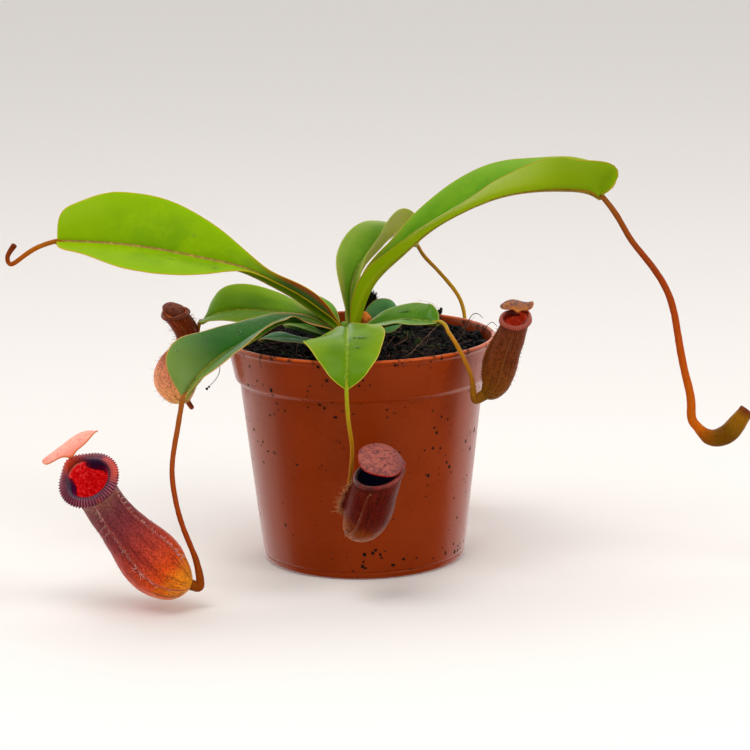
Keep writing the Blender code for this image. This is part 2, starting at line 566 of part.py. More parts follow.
def tendril(name, data, collection):
    """It starts a hair past its leaf's tip and ends a hair before the pitcher that it carries."""
    tip, ahead = route(leaf_midrib(LEAVES[data["leaf"]]), 1)
    points = [tip[0] + ahead[0] * NODE_GAP, *data["points"]]
    carried = data.get("carries")
    if carried:
        axis = BUD_AXIS if carried == "bud_right" else PITCHERS[carried]["axis"]
        start, way = route(axis, 0)
        points += [start[0] - way[0] * APPROACH, start[0] - way[0] * NODE_GAP]
    where = np.linspace(0, 1, data["count"])
    radii = data["radius"][0] + (data["radius"][1] - data["radius"][0]) * where
    tube(name, route(points, where)[0], radii, "tendril", collection)


def axis_frame(points, front, where, mouth=None):
    """The axis at shares of its length, with the normal, front side and left side of a round section.

    Where a mouth's normal is given, the sections turn from square to the axis to the mouth's slant.
    """
    centre, normal = route(points, where)
    if mouth is not None:
        turned = np.clip((np.atleast_1d(where) - SLANT_FROM) / (1 - SLANT_FROM), 0, 1)[:, None]
        normal = normal * (1 - turned) + unit(mouth) * turned
        normal /= np.linalg.norm(normal, axis=1)[:, None]
    left = np.cross(normal, unit(front))
    left /= np.linalg.norm(left, axis=1)[:, None]
    return centre, normal, np.cross(left, normal), left


def pitcher_body(name, data, collection):
    """A cup on a bent axis: outside up from the tendril to the slanted mouth, and down the inside.

    Two wings run up its front as narrow ridges, and the fluid-filled foot is solid.
    """
    sides, rows = data["sides"], data["rows"]
    rise = np.linspace(0, 1, rows + 1) ** FIRST_ROWS_CLOSER
    sink = np.linspace(1, data["floor"], rows // 2 + 2)
    where = np.concatenate([rise, sink])
    radius = read_stations(data["radii"], where)[0]
    inside = np.arange(len(where)) > rows
    depth = np.clip((where - data["floor"]) / (1 - data["floor"]), 0, 1)
    rounded = np.minimum(1, CUP_FLOOR_RADIUS + 2.2 * depth)
    radius = np.where(inside, (radius - PITCHER_WALL) * rounded, radius)
    centre, _, front, left = axis_frame(data["axis"], data["front"], where, data["mouth"])
    angle = np.arange(sides) * 2 * math.pi / sides
    wing = np.zeros(sides)
    wing[[WING_PLACE, -WING_PLACE]] = WING_HEIGHT
    grown = np.sin(math.pi * np.clip((where - 0.05) / 0.93, 0, 1)) * ~inside
    rings = []
    for i in range(len(where)):
        reach = radius[i] + wing * grown[i]
        spoke = np.outer(np.cos(angle), front[i]) + np.outer(np.sin(angle), left[i])
        rings.append(centre[i] + spoke * reach[:, None])
    loft(name, np.array(rings), "pitcher", collection)


def peristome(name, data, collection):
    """A ring that arches over the mouth's edge, ribbed across."""
    frame = axis_frame(data["axis"], data["front"], 1, data["mouth"])
    centre, normal, front, left = (part[0] for part in frame)
    inner, outer = data["ring"]
    half, middle = (outer - inner) / 2, (outer + inner) / 2
    thick = 0.3 + 0.2 * half
    rings = []
    for i in range(2 * data["ribs"]):
        turn = math.pi * i / data["ribs"]
        spoke = front * math.cos(turn) + left * math.sin(turn)
        rib = 1 + RIB_HEIGHT * (i % 2)
        section = []
        for j in range(RING_CORNERS):
            corner = 2 * math.pi * j / RING_CORNERS
            x, y = math.cos(corner), math.sin(corner)
            arch = (0.5 + 0.35 * half) * (1 - x * x)
            height = 0.35 + arch + thick * rib * y
            section.append(centre + spoke * (middle + half * rib * x) + normal * height)
        rings.append(section)
    loft(name, np.array(rings), "peristome", collection, loop=True)


def lid(name, data, collection):
    """A thin domed oval with a short neck at the hinge."""
    middle, ahead, up, length, width = data["lid"]
    ahead = unit(ahead)
    side = unit(np.cross(up, ahead))
    up = np.cross(ahead, side)
    around = LID_SIDES
    points = [np.array(middle) + up * LID_DOME * width]
    faces = [(0, 1 + i, 1 + (i + 1) % around) for i in range(around)]
    for share in (0.6, 1):
        for i in range(around):
            turn = 2 * math.pi * i / around
            neck = (i == 0) * (share == 1)
            out = ahead * -math.cos(turn) * (1 + LID_NECK * neck) * length / 2
            out += side * math.sin(turn) * width / 2
            height = LID_DOME * width * (1 - share**2) - LID_DROP * neck
            points.append(middle + out * share + up * height)
    for i in range(around):
        here, there = 1 + i, 1 + (i + 1) % around
        faces += [(here, here + around, there + around), (here, there + around, there)]
    made = add_mesh(name, points, faces, "lid", collection, closed=False)
    thick = made.modifiers.new("thickness", "SOLIDIFY")
    thick.thickness = LID * MM
    thick.offset = 0


def bud(name, axis, radii, front, slot, collection, rows=10, sides=12):
    """A closed young pitcher: rings on a bent axis, a flat end where its lid is still shut."""
    where = np.linspace(0, 1, rows + 1)
    centre, _, front, left = axis_frame(axis, front, where)
    radius = read_stations(radii, where)[0]
    angle = np.arange(sides) * 2 * math.pi / sides
    rings = []
    for i in range(rows + 1):
        spoke = np.outer(np.cos(angle), front[i]) + np.outer(np.sin(angle), left[i])
        rings.append(centre[i] + spoke * radius[i])
    loft(name, np.array(rings), slot, collection)


def main():
    clear_scene()
    plant = new_collection("potted_pitcher_plant")
    cutters = new_collection("cutters")
    pot(plant, cutters)
    soil(plant)
    moss_clump(plant)
    stem(plant)
    for name, data in LEAVES.items():
        leaf(name, data, plant)
    for name, data in TENDRILS.items():
        tendril(name, data, plant)
    for name, data in PITCHERS.items():
        pitcher_body("pitcher_" + name, data, plant)
        peristome("peristome_" + name, data, plant)
        lid("lid_" + name, data, plant)
    bud("bud_right", BUD_AXIS, BUD_RADII, (0, -1, 0), "bud", plant)
    ground = float(soil_height(*CROWN_BUD_AXIS[0][:2])) + NODE_GAP
    standing = [(x, y, z + ground) for x, y, z in CROWN_BUD_AXIS]
    bud("bud_crown", standing, CROWN_BUD_RADII, (0, -1, 0), "tendril", plant, rows=6, sides=9)


main()
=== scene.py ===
"""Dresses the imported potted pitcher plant: finer surfaces, hairs, veins and finishes on the fixed frame.

The frame is in metres, +Z up, with the origin under the middle of the pot. Sizes and places below are
in millimetres, as in the part's own source, and MM turns them to metres as each mesh is made.
"""

import json
import math

import bpy
import numpy as np
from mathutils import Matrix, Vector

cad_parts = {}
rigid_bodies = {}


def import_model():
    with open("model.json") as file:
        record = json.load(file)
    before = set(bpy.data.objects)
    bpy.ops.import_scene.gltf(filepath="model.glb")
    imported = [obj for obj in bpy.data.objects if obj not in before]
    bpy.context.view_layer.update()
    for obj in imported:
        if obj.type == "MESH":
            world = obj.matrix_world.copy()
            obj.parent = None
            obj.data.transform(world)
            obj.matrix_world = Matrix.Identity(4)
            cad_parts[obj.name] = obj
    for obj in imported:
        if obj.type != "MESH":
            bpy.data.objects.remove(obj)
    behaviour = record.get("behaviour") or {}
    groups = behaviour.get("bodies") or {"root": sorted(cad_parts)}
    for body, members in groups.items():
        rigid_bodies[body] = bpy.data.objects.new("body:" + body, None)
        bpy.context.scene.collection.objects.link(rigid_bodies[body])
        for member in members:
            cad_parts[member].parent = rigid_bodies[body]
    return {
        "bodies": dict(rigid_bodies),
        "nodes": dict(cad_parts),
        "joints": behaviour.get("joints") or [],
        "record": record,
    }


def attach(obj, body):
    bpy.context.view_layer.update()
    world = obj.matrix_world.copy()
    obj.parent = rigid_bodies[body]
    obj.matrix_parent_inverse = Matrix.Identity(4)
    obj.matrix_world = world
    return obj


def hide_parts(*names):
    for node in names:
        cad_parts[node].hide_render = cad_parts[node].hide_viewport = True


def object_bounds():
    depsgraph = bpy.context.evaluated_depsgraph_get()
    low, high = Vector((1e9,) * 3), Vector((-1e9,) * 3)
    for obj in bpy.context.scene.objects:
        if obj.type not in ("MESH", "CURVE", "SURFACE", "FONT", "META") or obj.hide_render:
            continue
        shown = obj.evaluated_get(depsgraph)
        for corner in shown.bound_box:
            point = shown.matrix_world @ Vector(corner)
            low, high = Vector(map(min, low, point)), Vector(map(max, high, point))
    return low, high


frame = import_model()
cad_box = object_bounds()

bl_info = {
    "name": "Potted pitcher plant",
    "version": (1, 0, 0),
    "blender": (4, 5, 0),
    "location": "3D View > Sidebar > Plant",
    "description": "Builds the fine surfaces and finishes of a potted pitcher plant around its solids",
    "category": "Object",
}

MM = 0.001

# The pot, the soil, the tuft and the stem, as in the solids
RIM_RADIUS = 55.0
POT_HEIGHT = 92.0
BAND_HEIGHT = 17.0
BAND_RADIUS = 51.8
BODY_RADIUS = 49.8
BASE_RADIUS = 41.7
WALL = 1.2
FLOOR_TOP = 2.7
FOOT_RECESS = 1.4
HOLE_RADIUS = 3.5
HOLE_RING = 29.5
HOLE_COUNT = 8
GAP = 0.3
SOIL_LEVEL = 86.0
SOIL_LUMPS = 1.3
TUFT_PLACE = (3.0, 24.0)
TUFT_TOP = 106.0
TUFT_RADIUS = 5.6
STEM_PLACE = (-6.5, 0.0)
STEM_RADIUS = 3.2
STEM_TOP = 97.5

# Blades, walls and joints of the plant, as in the solids
LEAF_BULGE = 0.22
LEAST_HALF_WIDTH = 0.8
NODE_GAP = 0.6
APPROACH = 2.4
PITCHER_WALL = 1.1
FIRST_ROWS_CLOSER = 1.25
SLANT_FROM = 0.6
CUP_FLOOR_RADIUS = 0.25
LID_DOME = 0.06
LID_NECK = 0.14
LID_DROP = 1.1

# Finer forms: the drill that cuts each hole, the tuft's lean to the right at its top, how far out on a wing
# its fringe is rooted, and how many hairs of down a pitcher has and how many bits of moss the soil
DRILL_SIDES = 28
DRILL_REACH = (-3.0, 6.0)
TUFT_LEAN = 1.2
FRINGE_ROOTS = 1.4
DOWN_HAIRS = 420
MOSS_BITS = 90

# First random seeds. Each later leaf and pitcher takes one that is 3 higher, and each later tendril 1.
LEAF_SEED = 50
TENDRIL_SEED = 90
PITCHER_SEED = 110
HAIR_SEED = 150

# The camera: the degrees that it looks down and leans, the place that it looks at and its distance from
# that in metres, and its focal length. Both lamps are squares of this many metres and shine at one place.
CAMERA_PITCH = 11.9
CAMERA_ROLL = 0.92
CAMERA_AIM = (0.005508, 0, 0.075)
CAMERA_DISTANCE = 1.05
CAMERA_LENS = 123.07
LAMP_SIZE = 0.9
LAMP_AIM = (0, 0, 0.08)

# Each leaf: where it leaves the stem (degrees from +X, height), the points that its midrib passes, and
# its stations from base to tip: share of the length, half widths left and right of the midrib, the
# degrees that each half is raised, and how far the margins lean towards the tip.
LEAVES = {
    "leaf_left": {
        "from": (184, 95.7), "off": -0.5,
        "midrib": [(-18, -1.5, 103), (-26.5, -2.5, 109.5), (-36, -4, 115.5), (-46, -6, 121), (-60, -7, 125),
                   (-82, -8, 130), (-104, -9, 133), (-121, -10, 134)],
        "stations": [(0, 2.0, 2.2, 40, 60, 0), (0.08, 3.5, 5.0, 25, 62, 0), (0.2, 3.2, 5.0, 20, 60, 0),
                     (0.3, 3.2, 4.2, 5, 60, 0), (0.38, 4.6, 7.2, -8, 60, 0), (0.46, 10.5, 12.8, -15, 59, 0),
                     (0.55, 17.5, 18.2, -16, 56, 0), (0.65, 22, 22.8, -16, 53, 0),
                     (0.75, 22, 24.2, -16, 53, 0.3), (0.85, 16.8, 22, -15, 57, 1),
                     (0.93, 10.5, 16.5, -12, 61, 2.2), (0.98, 5, 8.5, -10, 63, 2.4),
                     (1, 1.2, 1.2, -5, 60, 0)],
    },
    "leaf_right": {
        "from": (-10, 96.0), "off": 0.3,
        "midrib": [(5, -4, 115.5), (15, -6, 125.5), (28, -9, 137), (41, -12, 144.8), (56, -15, 151),
                   (70, -18, 153.6), (83, -21, 154), (91, -23, 153), (96, -24, 150.5)],
        "stations": [(0, 2.2, 2.2, 55, 55, 0), (0.08, 4, 4, 62, 55, 0), (0.2, 5.8, 6, 66, 40, 0),
                     (0.3, 8, 8.5, 54, 20, 0), (0.4, 11.5, 12, 46, 9, 0), (0.5, 15.5, 16, 40, 6, 0),
                     (0.6, 19.5, 20, 34, 10, 0), (0.7, 21.5, 22, 30, 20, 0), (0.8, 21, 22, 28, 32, 0),
                     (0.88, 18, 19, 34, 46, 1), (0.94, 14, 16, 42, 56, 3), (0.98, 8, 11, 45, 62, 5),
                     (1, 1.2, 1.2, 30, 30, 0)],
    },
    "leaf_back": {
        "from": (55, 94.5), "off": 0.7,
        "midrib": [(-4, 8, 107), (0, 16, 118), (7, 25, 124), (14, 33, 129), (20, 40, 128), (24, 44, 122)],
        "stations": [(0, 2, 2, 50, 50, 0), (0.1, 3, 3, 50, 50, 0), (0.25, 6, 6, 40, 42, 0),
                     (0.4, 11, 7, 25, 46, 0), (0.55, 14, 7.5, 28, 56, 0), (0.7, 14, 9, 22, 68, 0),
                     (0.8, 12, 9.5, 15, 78, 0), (0.9, 8, 7.5, 15, 78, 0), (0.96, 4.5, 4.5, 10, 60, 0),
                     (1, 1, 1, 0, 30, 0)],
    },
    "leaf_left_low": {
        "from": (162, 92.7),
        "midrib": [(-19, 4, 98), (-29, 7, 100), (-40, 9, 101), (-52, 11, 101), (-60.5, 12.3, 99),
                   (-66, 15, 96)],
        "stations": [(0, 1.3, 1.3, 30, 40, 0), (0.1, 2.2, 2.2, 20, 45, 0), (0.25, 5, 6, -4, 22, 0),
                     (0.4, 9, 11, -14, 25, 0), (0.55, 11, 13, -18, 34, 0), (0.7, 11, 13.2, -16, 44, 0),
                     (0.8, 9.8, 13, -12, 42, 0), (0.9, 6.8, 10.5, -10, 38, 0.6), (0.96, 4.4, 7, -8, 30, 1),
                     (1, 1, 1, 0, 10, 0)],
    },
    "leaf_front_left": {
        "from": (219, 92.0),
        "midrib": [(-16, -7, 98), (-24, -15, 102), (-33, -25, 103), (-41, -37, 100), (-53, -50, 95),
                   (-62, -61, 89), (-68, -68, 82)],
        "stations": [(0, 2, 2, 40, 40, 0), (0.1, 3, 3, -20, 24, 0), (0.2, 3.5, 3.5, -30, 28, 0),
                     (0.3, 5, 5, 10, 18, 0), (0.4, 8, 8, 18, 12, 0), (0.5, 11, 11, 28, 16, 0),
                     (0.6, 13, 13.5, 28, 22, 0), (0.7, 14, 15.5, 22, 26, 0), (0.8, 13, 16.5, 22, 36, 0),
                     (0.88, 10, 15.5, 24, 46, 0), (0.95, 6, 10.5, 30, 50, 0), (1, 1, 1, 20, 40, 0)],
    },
    "leaf_front": {
        "from": (271, 91.6),
        "midrib": [(-6, -15, 98), (-5.3, -28, 100), (-5.2, -40, 100), (-5.2, -48.5, 99.2), (-5.2, -56, 96.6),
                   (-5.2, -61, 92.8), (-5.4, -64.5, 88.4), (-5.5, -66.5, 83.8)],
        "stations": [(0, 1.5, 1.5, 40, 50, 0), (0.1, 2.3, 2.5, 45, 30, 0), (0.2, 3, 3.5, 30, 0, 0),
                     (0.3, 4.6, 6.0, 20, -10, 0), (0.4, 9.8, 10.4, 10, -15, -2.4),
                     (0.5, 14.2, 15.0, 6, -14, -3.4), (0.6, 14.8, 17.3, 1, -6, -1),
                     (0.7, 13.5, 15, -6, -4, 0), (0.8, 12, 12, -6, -6, 0), (0.88, 9.5, 9, 4, -6, 0),
                     (0.95, 6, 5.5, 6, 2, 0), (1, 1, 1, 0, 0, 0)],
    },
    "leaf_front_right": {
        "from": (-34, 91.9),
        "midrib": [(2, -7.5, 96), (9.5, -11.5, 99), (18, -15.5, 101), (24, -19, 101), (31, -22, 101)],
        "stations": [(0, 1.6, 1.8, 40, 40, 0), (0.1, 2.0, 2.5, 40, 30, 0), (0.25, 4.4, 5, 34, 8, 0),
                     (0.4, 8, 8, 34, 2, 0), (0.55, 10, 10, 30, -2, 0), (0.7, 10, 10, 34, 0, 0),
                     (0.8, 9, 9, 40, 0, 0), (0.9, 7, 7, 50, 2, 1), (0.96, 4, 4, 30, 2, 1),
                     (1, 1, 1, 10, 0, 0)],
    },
    "leaf_back_right": {
        "from": (34, 90.5),
        "midrib": [(1.2, 8.8, 94), (7.5, 13.4, 96.5), (13.5, 17, 96.8), (18, 20.5, 94.8)],
        "stations": [(0, 1.8, 1.8, 50, 30, 0), (0.15, 2.2, 2.5, 55, 10, 0), (0.35, 3.4, 6, 62, -30, 0),
                     (0.55, 6.8, 9, 66, -38, 0), (0.75, 7.2, 8, 60, -35, 0), (0.9, 5, 4.5, 50, -25, 0),
                     (1, 0.8, 0.8, 30, 0, 0)],
    },
    "leaf_soil_left": {
        "from": (228, 88.6),
        "midrib": [(-13.5, -6.4, 89.9), (-22, -10.3, 92.2), (-31, -13.5, 94), (-40, -17, 94.5)],
        "stations": [(0, 1.6, 1.6, 40, 40, 0), (0.15, 2.2, 2.2, 20, 30, 0), (0.4, 5, 4.5, -8, 2, 0),
                     (0.65, 6.5, 6.5, -8, 8, 0), (0.85, 4.5, 4.5, -8, 12, 0), (1, 0.8, 0.8, 0, 0, 0)],
    },
    "leaf_narrow": {
        "from": (186, 89.3),
        "midrib": [(-14, -1.2, 91.6), (-18, -3, 94.3), (-24, -5.2, 97), (-30, -7, 98.4)],
        "stations": [(0, 1.6, 1.6, 40, 40, 0), (0.15, 2, 2, 20, 30, 0), (0.5, 3.2, 3.2, -10, 25, 0),
                     (0.8, 2.4, 2.4, -10, 25, 0), (1, 0.8, 0.8, 0, 0, 0)],
    },
    "leaf_back_left": {
        "from": (126, 90.9),
        "midrib": [(-12, 8.5, 97), (-18, 13.5, 100.5), (-24, 17, 102.5), (-29, 21, 103)],
        "stations": [(0, 1.6, 1.6, 40, 40, 0), (0.2, 2.5, 2.5, 10, 30, 0), (0.5, 6.5, 6.5, -15, 25, 0),
                     (0.75, 6.5, 6.5, -15, 30, 0), (0.9, 4, 4, -10, 25, 0), (1, 0.8, 0.8, 0, 0, 0)],
    },
}

# Each tendril: the leaf whose midrib it ends, the points that it passes, its radius at either end, and
# the pitcher or bud that hangs from it.
TENDRILS = {
    "tendril_left": {
        "leaf": "leaf_left", "radius": (1.0, 0.9),
        "points": [(-125, -10.5, 133.2), (-130.5, -11.5, 131), (-136.5, -12, 127), (-140.3, -12, 125.5),
                   (-141, -12, 127.8), (-139.6, -12, 130.8), (-138.1, -12, 132.9)],
    },
    "tendril_right": {
        "leaf": "leaf_right", "radius": (1.1, 1.7), "carries": "bud_right",
        "points": [(102, -25, 142.8), (107, -26, 134.1), (114, -27, 125), (120, -28, 116.2),
                   (123.3, -28.5, 108.5), (126, -29, 95), (129.4, -30, 77.7), (131.4, -30, 67)],
    },
    "tendril_back": {
        "leaf": "leaf_back", "radius": (0.8, 0.9), "carries": "back",
        "points": [(26.8, 47, 116.8), (32, 50, 110.6), (37, 53, 104.4), (41, 56, 98.6), (43.6, 59, 92.5),
                   (45, 64, 80), (46, 71, 58), (47.5, 75.5, 34), (46.5, 76, 20)],
    },
    "tendril_left_low": {
        "leaf": "leaf_left_low", "radius": (0.8, 0.9), "carries": "left_low",
        "points": [(-67.6, 18.2, 91.5), (-69, 22.8, 84.5), (-72, 25.8, 76), (-73.5, 25, 67),
                   (-72.5, 19.5, 60.6)],
    },
    "tendril_front_left": {
        "leaf": "leaf_front_left", "radius": (1.0, 1.05), "carries": "front_left",
        "points": [(-70.6, -72, 69.1), (-72.8, -74, 53.9), (-72, -75, 44.7), (-70.2, -76, 36.2),
                   (-67.3, -77, 27.7), (-64.6, -77, 20.1), (-63.4, -77, 14)],
    },
    "tendril_front": {
        "leaf": "leaf_front", "radius": (0.8, 0.9), "carries": "front",
        "points": [(-5.3, -68.5, 76.7), (-4.8, -69, 70.1), (-3.8, -67.5, 61.6), (-4.2, -64.8, 53),
                   (-5.4, -61.0, 43), (-6.4, -60.4, 35.5)],
    },
    "tendril_front_right": {
        "leaf": "leaf_front_right", "radius": (0.8, 0.9), "carries": "front_right",
        "points": [(33.2, -25, 100.6), (34.6, -31, 98.9), (36.6, -37.4, 96.6), (39, -42, 92.9),
                   (42.2, -46.5, 86.5), (43.6, -48, 81.5)],
    },
}

# Each pitcher: the points of its axis from the tendril to the mouth, its radius at shares of that
# length, the side that its wings face and the angle of each wing from it, the mouth's normal, the
# peristome's inner and outer radius and its ribs, the lid's middle, direction from hinge to tip, upper
# side, length and width, and the height of the cup's floor as a share of the axis.
PITCHERS = {
    "front_left": {
        "axis": [(-66.2, -77, 9.6), (-73, -77, 12.6), (-81, -77, 19.3), (-89.3, -79, 30),
                 (-96.5, -82.5, 41), (-100.7, -87, 50), (-102.6, -91, 55.2)],
        "radii": [(0, 1.1), (0.03, 4.6), (0.08, 7.9), (0.18, 11.0), (0.3, 12.0), (0.4, 11.2), (0.5, 9.8),
                  (0.6, 8.6), (0.75, 8.0), (0.88, 8.1), (1, 8.8)],
        "front": (0.19, -0.95, 0.35), "wings": 36, "mouth": (-0.25, -0.68, 0.69), "ring": (6.9, 11.6),
        "ribs": 60, "lid": ((-111.5, -73.2, 64.3), (-0.1, 0.99, 0.0), (-0.5, 0.0, 0.87), 22, 24.3),
        "floor": 0.3,
    },
    "front": {
        "axis": [(-4.7, -65.5, 30.4), (-2, -69.5, 31), (0.9, -72, 34.6), (2.9, -74, 40),
                 (4.4, -75.3, 45.5), (6.3, -76.5, 51.6)],
        "radii": [(0, 1.1), (0.05, 3.6), (0.12, 6.0), (0.25, 8.3), (0.4, 9.1), (0.6, 9.3), (0.8, 9.1),
                  (1, 8.9)],
        "front": (-0.75, -0.6, 0.1), "wings": 36, "mouth": (-0.16, -0.36, 0.92), "ring": (7.6, 9.8),
        "ribs": 60, "lid": ((7, -78, 58.1), (-0.97, -0.15, 0.17), (0.2, -0.53, 0.82), 17.5, 17),
        "floor": 0.3,
    },
    "front_right": {
        "axis": [(47.2, -48, 75.9), (51.2, -48, 79), (54.3, -48, 85.5), (56.7, -48, 93.4),
                 (59, -49, 100.7), (60.2, -50, 106)],
        "radii": [(0, 1.0), (0.05, 2.7), (0.14, 4.6), (0.25, 5.6), (0.4, 6.2), (0.6, 5.9), (0.8, 5.4),
                  (1, 5.4)],
        "front": (-0.7, -0.65, 0.2), "wings": 45, "mouth": (0, -0.48, 0.87), "ring": (3.9, 6.2),
        "ribs": 44, "lid": ((61.2, -44.6, 111.2), (0, 0.97, 0.2), (0, -0.2, 0.98), 10, 13),
        "floor": 0.35,
    },
    "left_low": {
        "axis": [(-72.5, 14.5, 61.8), (-76, 14, 68), (-77.9, 14, 74.7), (-75.6, 14, 81.4),
                 (-72.1, 14, 87.7), (-73.5, 14, 94), (-76.2, 14, 98.5)],
        "radii": [(0, 1.0), (0.06, 4.8), (0.15, 7.6), (0.28, 8.8), (0.4, 7.6), (0.52, 5.2), (0.62, 4.3),
                  (0.75, 4.4), (0.88, 4.8), (1, 5.2)],
        "front": (0.8, -0.6, 0), "wings": 45, "mouth": (-0.15, -0.25, 0.95), "ring": (3.7, 5.9),
        "ribs": 40, "lid": ((-77.3, 15, 100.9), (-0.1, 0.95, 0.45), (0.2, -0.5, 0.86), 9.6, 9.4),
        "floor": 0.35,
    },
    "back": {
        "axis": [(39, 76, 12.5), (32, 76.5, 14.5), (25.5, 77.5, 21), (21, 79, 31), (18.5, 80, 41),
                 (17.5, 81.5, 49)],
        "radii": [(0, 1.1), (0.05, 4.6), (0.13, 7.4), (0.25, 9.4), (0.38, 9.6), (0.55, 8.2), (0.7, 7.2),
                  (0.85, 7.0), (1, 7.4)],
        "front": (0.3, 0.9, 0.3), "wings": 45, "mouth": (0.1, 0.55, 0.8), "ring": (5.8, 9.4),
        "ribs": 60, "lid": ((16.4, 65, 59), (-0.1, -0.9, 0.4), (0, 0.4, 0.9), 16, 18),
        "floor": 0.3,
    },
}

# How much wider a tendril grows towards the pitcher that it carries.
FOOT_SWELLS = {"front_left": 1.0, "front_right": 1.2, "back": 1.2, "left_low": 0.2, "front": 0.4,
               "bud_right": 0.2, None: 0.3}

BUD_AXIS = [(134, -30, 58), (139.5, -30, 53.6), (146, -30, 55), (150.3, -30, 60), (153.5, -30, 64.3)]
BUD_RADII = [(0, 1.7), (0.2, 2.9), (0.4, 3.7), (0.6, 3.9), (0.8, 3.5), (0.95, 3.1), (1, 3.1)]
CROWN_BUD_AXIS = [(0.8, 2.4, 0), (1.1, 2.0, 4.4), (1.4, 1.5, 9), (1.7, 1.1, 13)]
CROWN_BUD_RADII = [(0, 1.0), (0.3, 1.3), (0.55, 2.1), (0.75, 2.8), (0.92, 2.6), (1, 1.7)]

# Colours of the hanging bud, of the crown bud and of the stem, from foot to end.
HANGING_BUD_LOOK = "#C8600A #94500A #724604 #6E4404 #86580A #94600E #6A2414"
CROWN_BUD_LOOK = "#6A2C0C #8A3610 #B84C14 #E88A34"
STEM_LOOK = "#3A3418 #4A4A1A #55701E #6A8A2A"

# Colours of each leaf: the blade where it is full and where it is deep, towards the margin, towards the
# tip, the rib, the margin's line, the stalk, the stalk's edge and the underside; how rough its skin is,
# and how strongly it shines.
LEAF_LOOKS = {
    "leaf_left": ("#8CB200 #76A000 #8CB400 #8EB200 #B88C50 #C0A010 #304E06 #86340C #5E8208", 0.34, 0.07),
    # Its underside colour is brightened well past the blade's: painted light that comes through the blade.
    "leaf_right": ("#6C9E08 #589006 #74A208 #84A600 #8A5C14 #A89420 #4E8608 #6E7A12 #A2BE0A", 0.4, 0.1),
    "leaf_back": ("#6C9412 #58840E #869E34 #A0A63C #A8A050 #A8AC48 #648E14 #94903C #A2AA44", 0.42, 0.14),
    "leaf_left_low": ("#6C9606 #588204 #7C9C0E #6E9A04 #8E9A34 #A6A03C #4A6A08 #8A7A3C #4E7A08", 0.4, 0.1),
    # Its tip colour is a painted sheen: the pale reflection on the waxy tip.
    "leaf_front_left": ("#24600A #1A500C #30660E #7C9648 #8C8A2C #C08E44 #2C5410 #7A5A34 #3E6E1C", 0.3, 0.13),
    "leaf_front": ("#6A9000 #567E00 #7E9E00 #5E8A08 #7E9A1C #C2B23C #4E7A10 #8C7C3C #4C7A10", 0.34, 0.12),
    "leaf_front_right": ("#568610 #407608 #64920E #4C8210 #8E9A3C #A8A454 #42700E #8C8448 #4A7A16",
                         0.3, 0.26),
    "leaf_back_right": ("#4E8648 #3C743C #5C9250 #56904C #6A8A50 #7C7A44 #3A5A30 #5C5A30 #4C8038",
                        0.42, 0.15),
    "leaf_soil_left": ("#34683C #265A30 #447646 #3C7040 #5E7C4C #8A6C44 #2E5228 #6C4A38 #34623A", 0.42, 0.15),
    "leaf_narrow": ("#5C9430 #488024 #6EA03C #649C34 #84A050 #98A058 #3E6C1C #6E6A3C #4C8030", 0.4, 0.15),
    "leaf_back_left": ("#66A034 #508C26 #78AC3C #70A838 #98B058 #98A84C #4A7A1C #7C7C44 #5A9030", 0.4, 0.15),
}

# Colours of each tendril, from its leaf to its end.
TENDRIL_LOOKS = {
    "tendril_left": "#9C5A10 #B0600C #A0480C #6E2A0C",
    "tendril_right": "#96561C #983A12 #B84C10 #C8620A",
    "tendril_back": "#B07A22 #C0941C #B09A14 #9A5A14",
    "tendril_left_low": "#9C7A24 #A0602C #9A4A28 #93401F",
    "tendril_front_left": "#A05C24 #A84C1A #A03C10 #8A4408",
    "tendril_front": "#98A41C #B47C0E #B0680C #A05A0C",
    "tendril_front_right": "#B8A030 #C07E14 #A86A14 #7A4C10",
}

# Colours of each pitcher up its body from the foot, then its streaks, its wings, whose paler tone is partly a
# painted highlight, and its lining.
PITCHER_LOOKS = {
    "front_left": "#F09C1C #DC4E18 #B63E2E #8A363A #7C3C42 #946050 #701C1C #B4564A #D00A10",
    "front": "#A86C1C #94460E #661A08 #5C1208 #5A140A #661C10 #34080A #6A2C14 #080A18",
    "front_right": "#7A5010 #7C4410 #783C14 #723414 #70361C #74341E #421A0C #7A4A1C #A82A10",
    "left_low": "#D4B44C #FCAC70 #FC9C78 #A85030 #6A2808 #70280C #A84A28 #8A4A18 #F08C14",
    "back": "#D8801A #CC5416 #B83A1C #94342A #7C3032 #8A403A #681A14 #A44832 #B01418",
}

# Colours of each mouth's ring: the inner side, the outer side, the crests and the patches. The crests' colour
# is partly their own paler tone and partly a painted highlight on the glossy ribs.
RING_LOOKS = {
    "front_left": "#2A0630 #62142E #DC8090 #C83A1E",
    "front": "#14060E #4A1210 #7A3420 #84200E",
    "front_right": "#6A1A10 #963828 #C4745A #A43C1C",
    "left_low": "#B84A08 #7A2C0E #9A4A20 #A04010",
    "back": "#2A0626 #5E1026 #D07880 #B0341A",
}

# Colours of each lid: its underside, its upper side, its spots, which also paint the shade in the fold at the
# hinge, and its edge; how thick it is, in mm.
LID_LOOKS = {
    "front_left": ("#EE9480 #F8B29C #F07868 #E0783A", 1.0),
    "front": ("#B0140C #B05F52 #54303A #A4180E", 1.9),
    "front_right": ("#A84414 #5C4048 #D07A28 #A85A24", 0.8),
    "left_low": ("#A04A20 #944428 #4E2018 #B05A2C", 1.0),
    "back": ("#D88A76 #C8806C #A8584A #C86A34", 1.0),
}

# Each lid's form: how far it bends as an S, how pointed it is, and its dome's height as a share of its width.
LID_FORMS = {"front_left": (0.07, 1.35, LID_DOME), "front": (0.05, 0.9, 0.15),
             "front_right": (-0.3, 0.8, LID_DOME), "left_low": (0.05, 0.9, LID_DOME),
             "back": (0.05, 0.9, LID_DOME)}

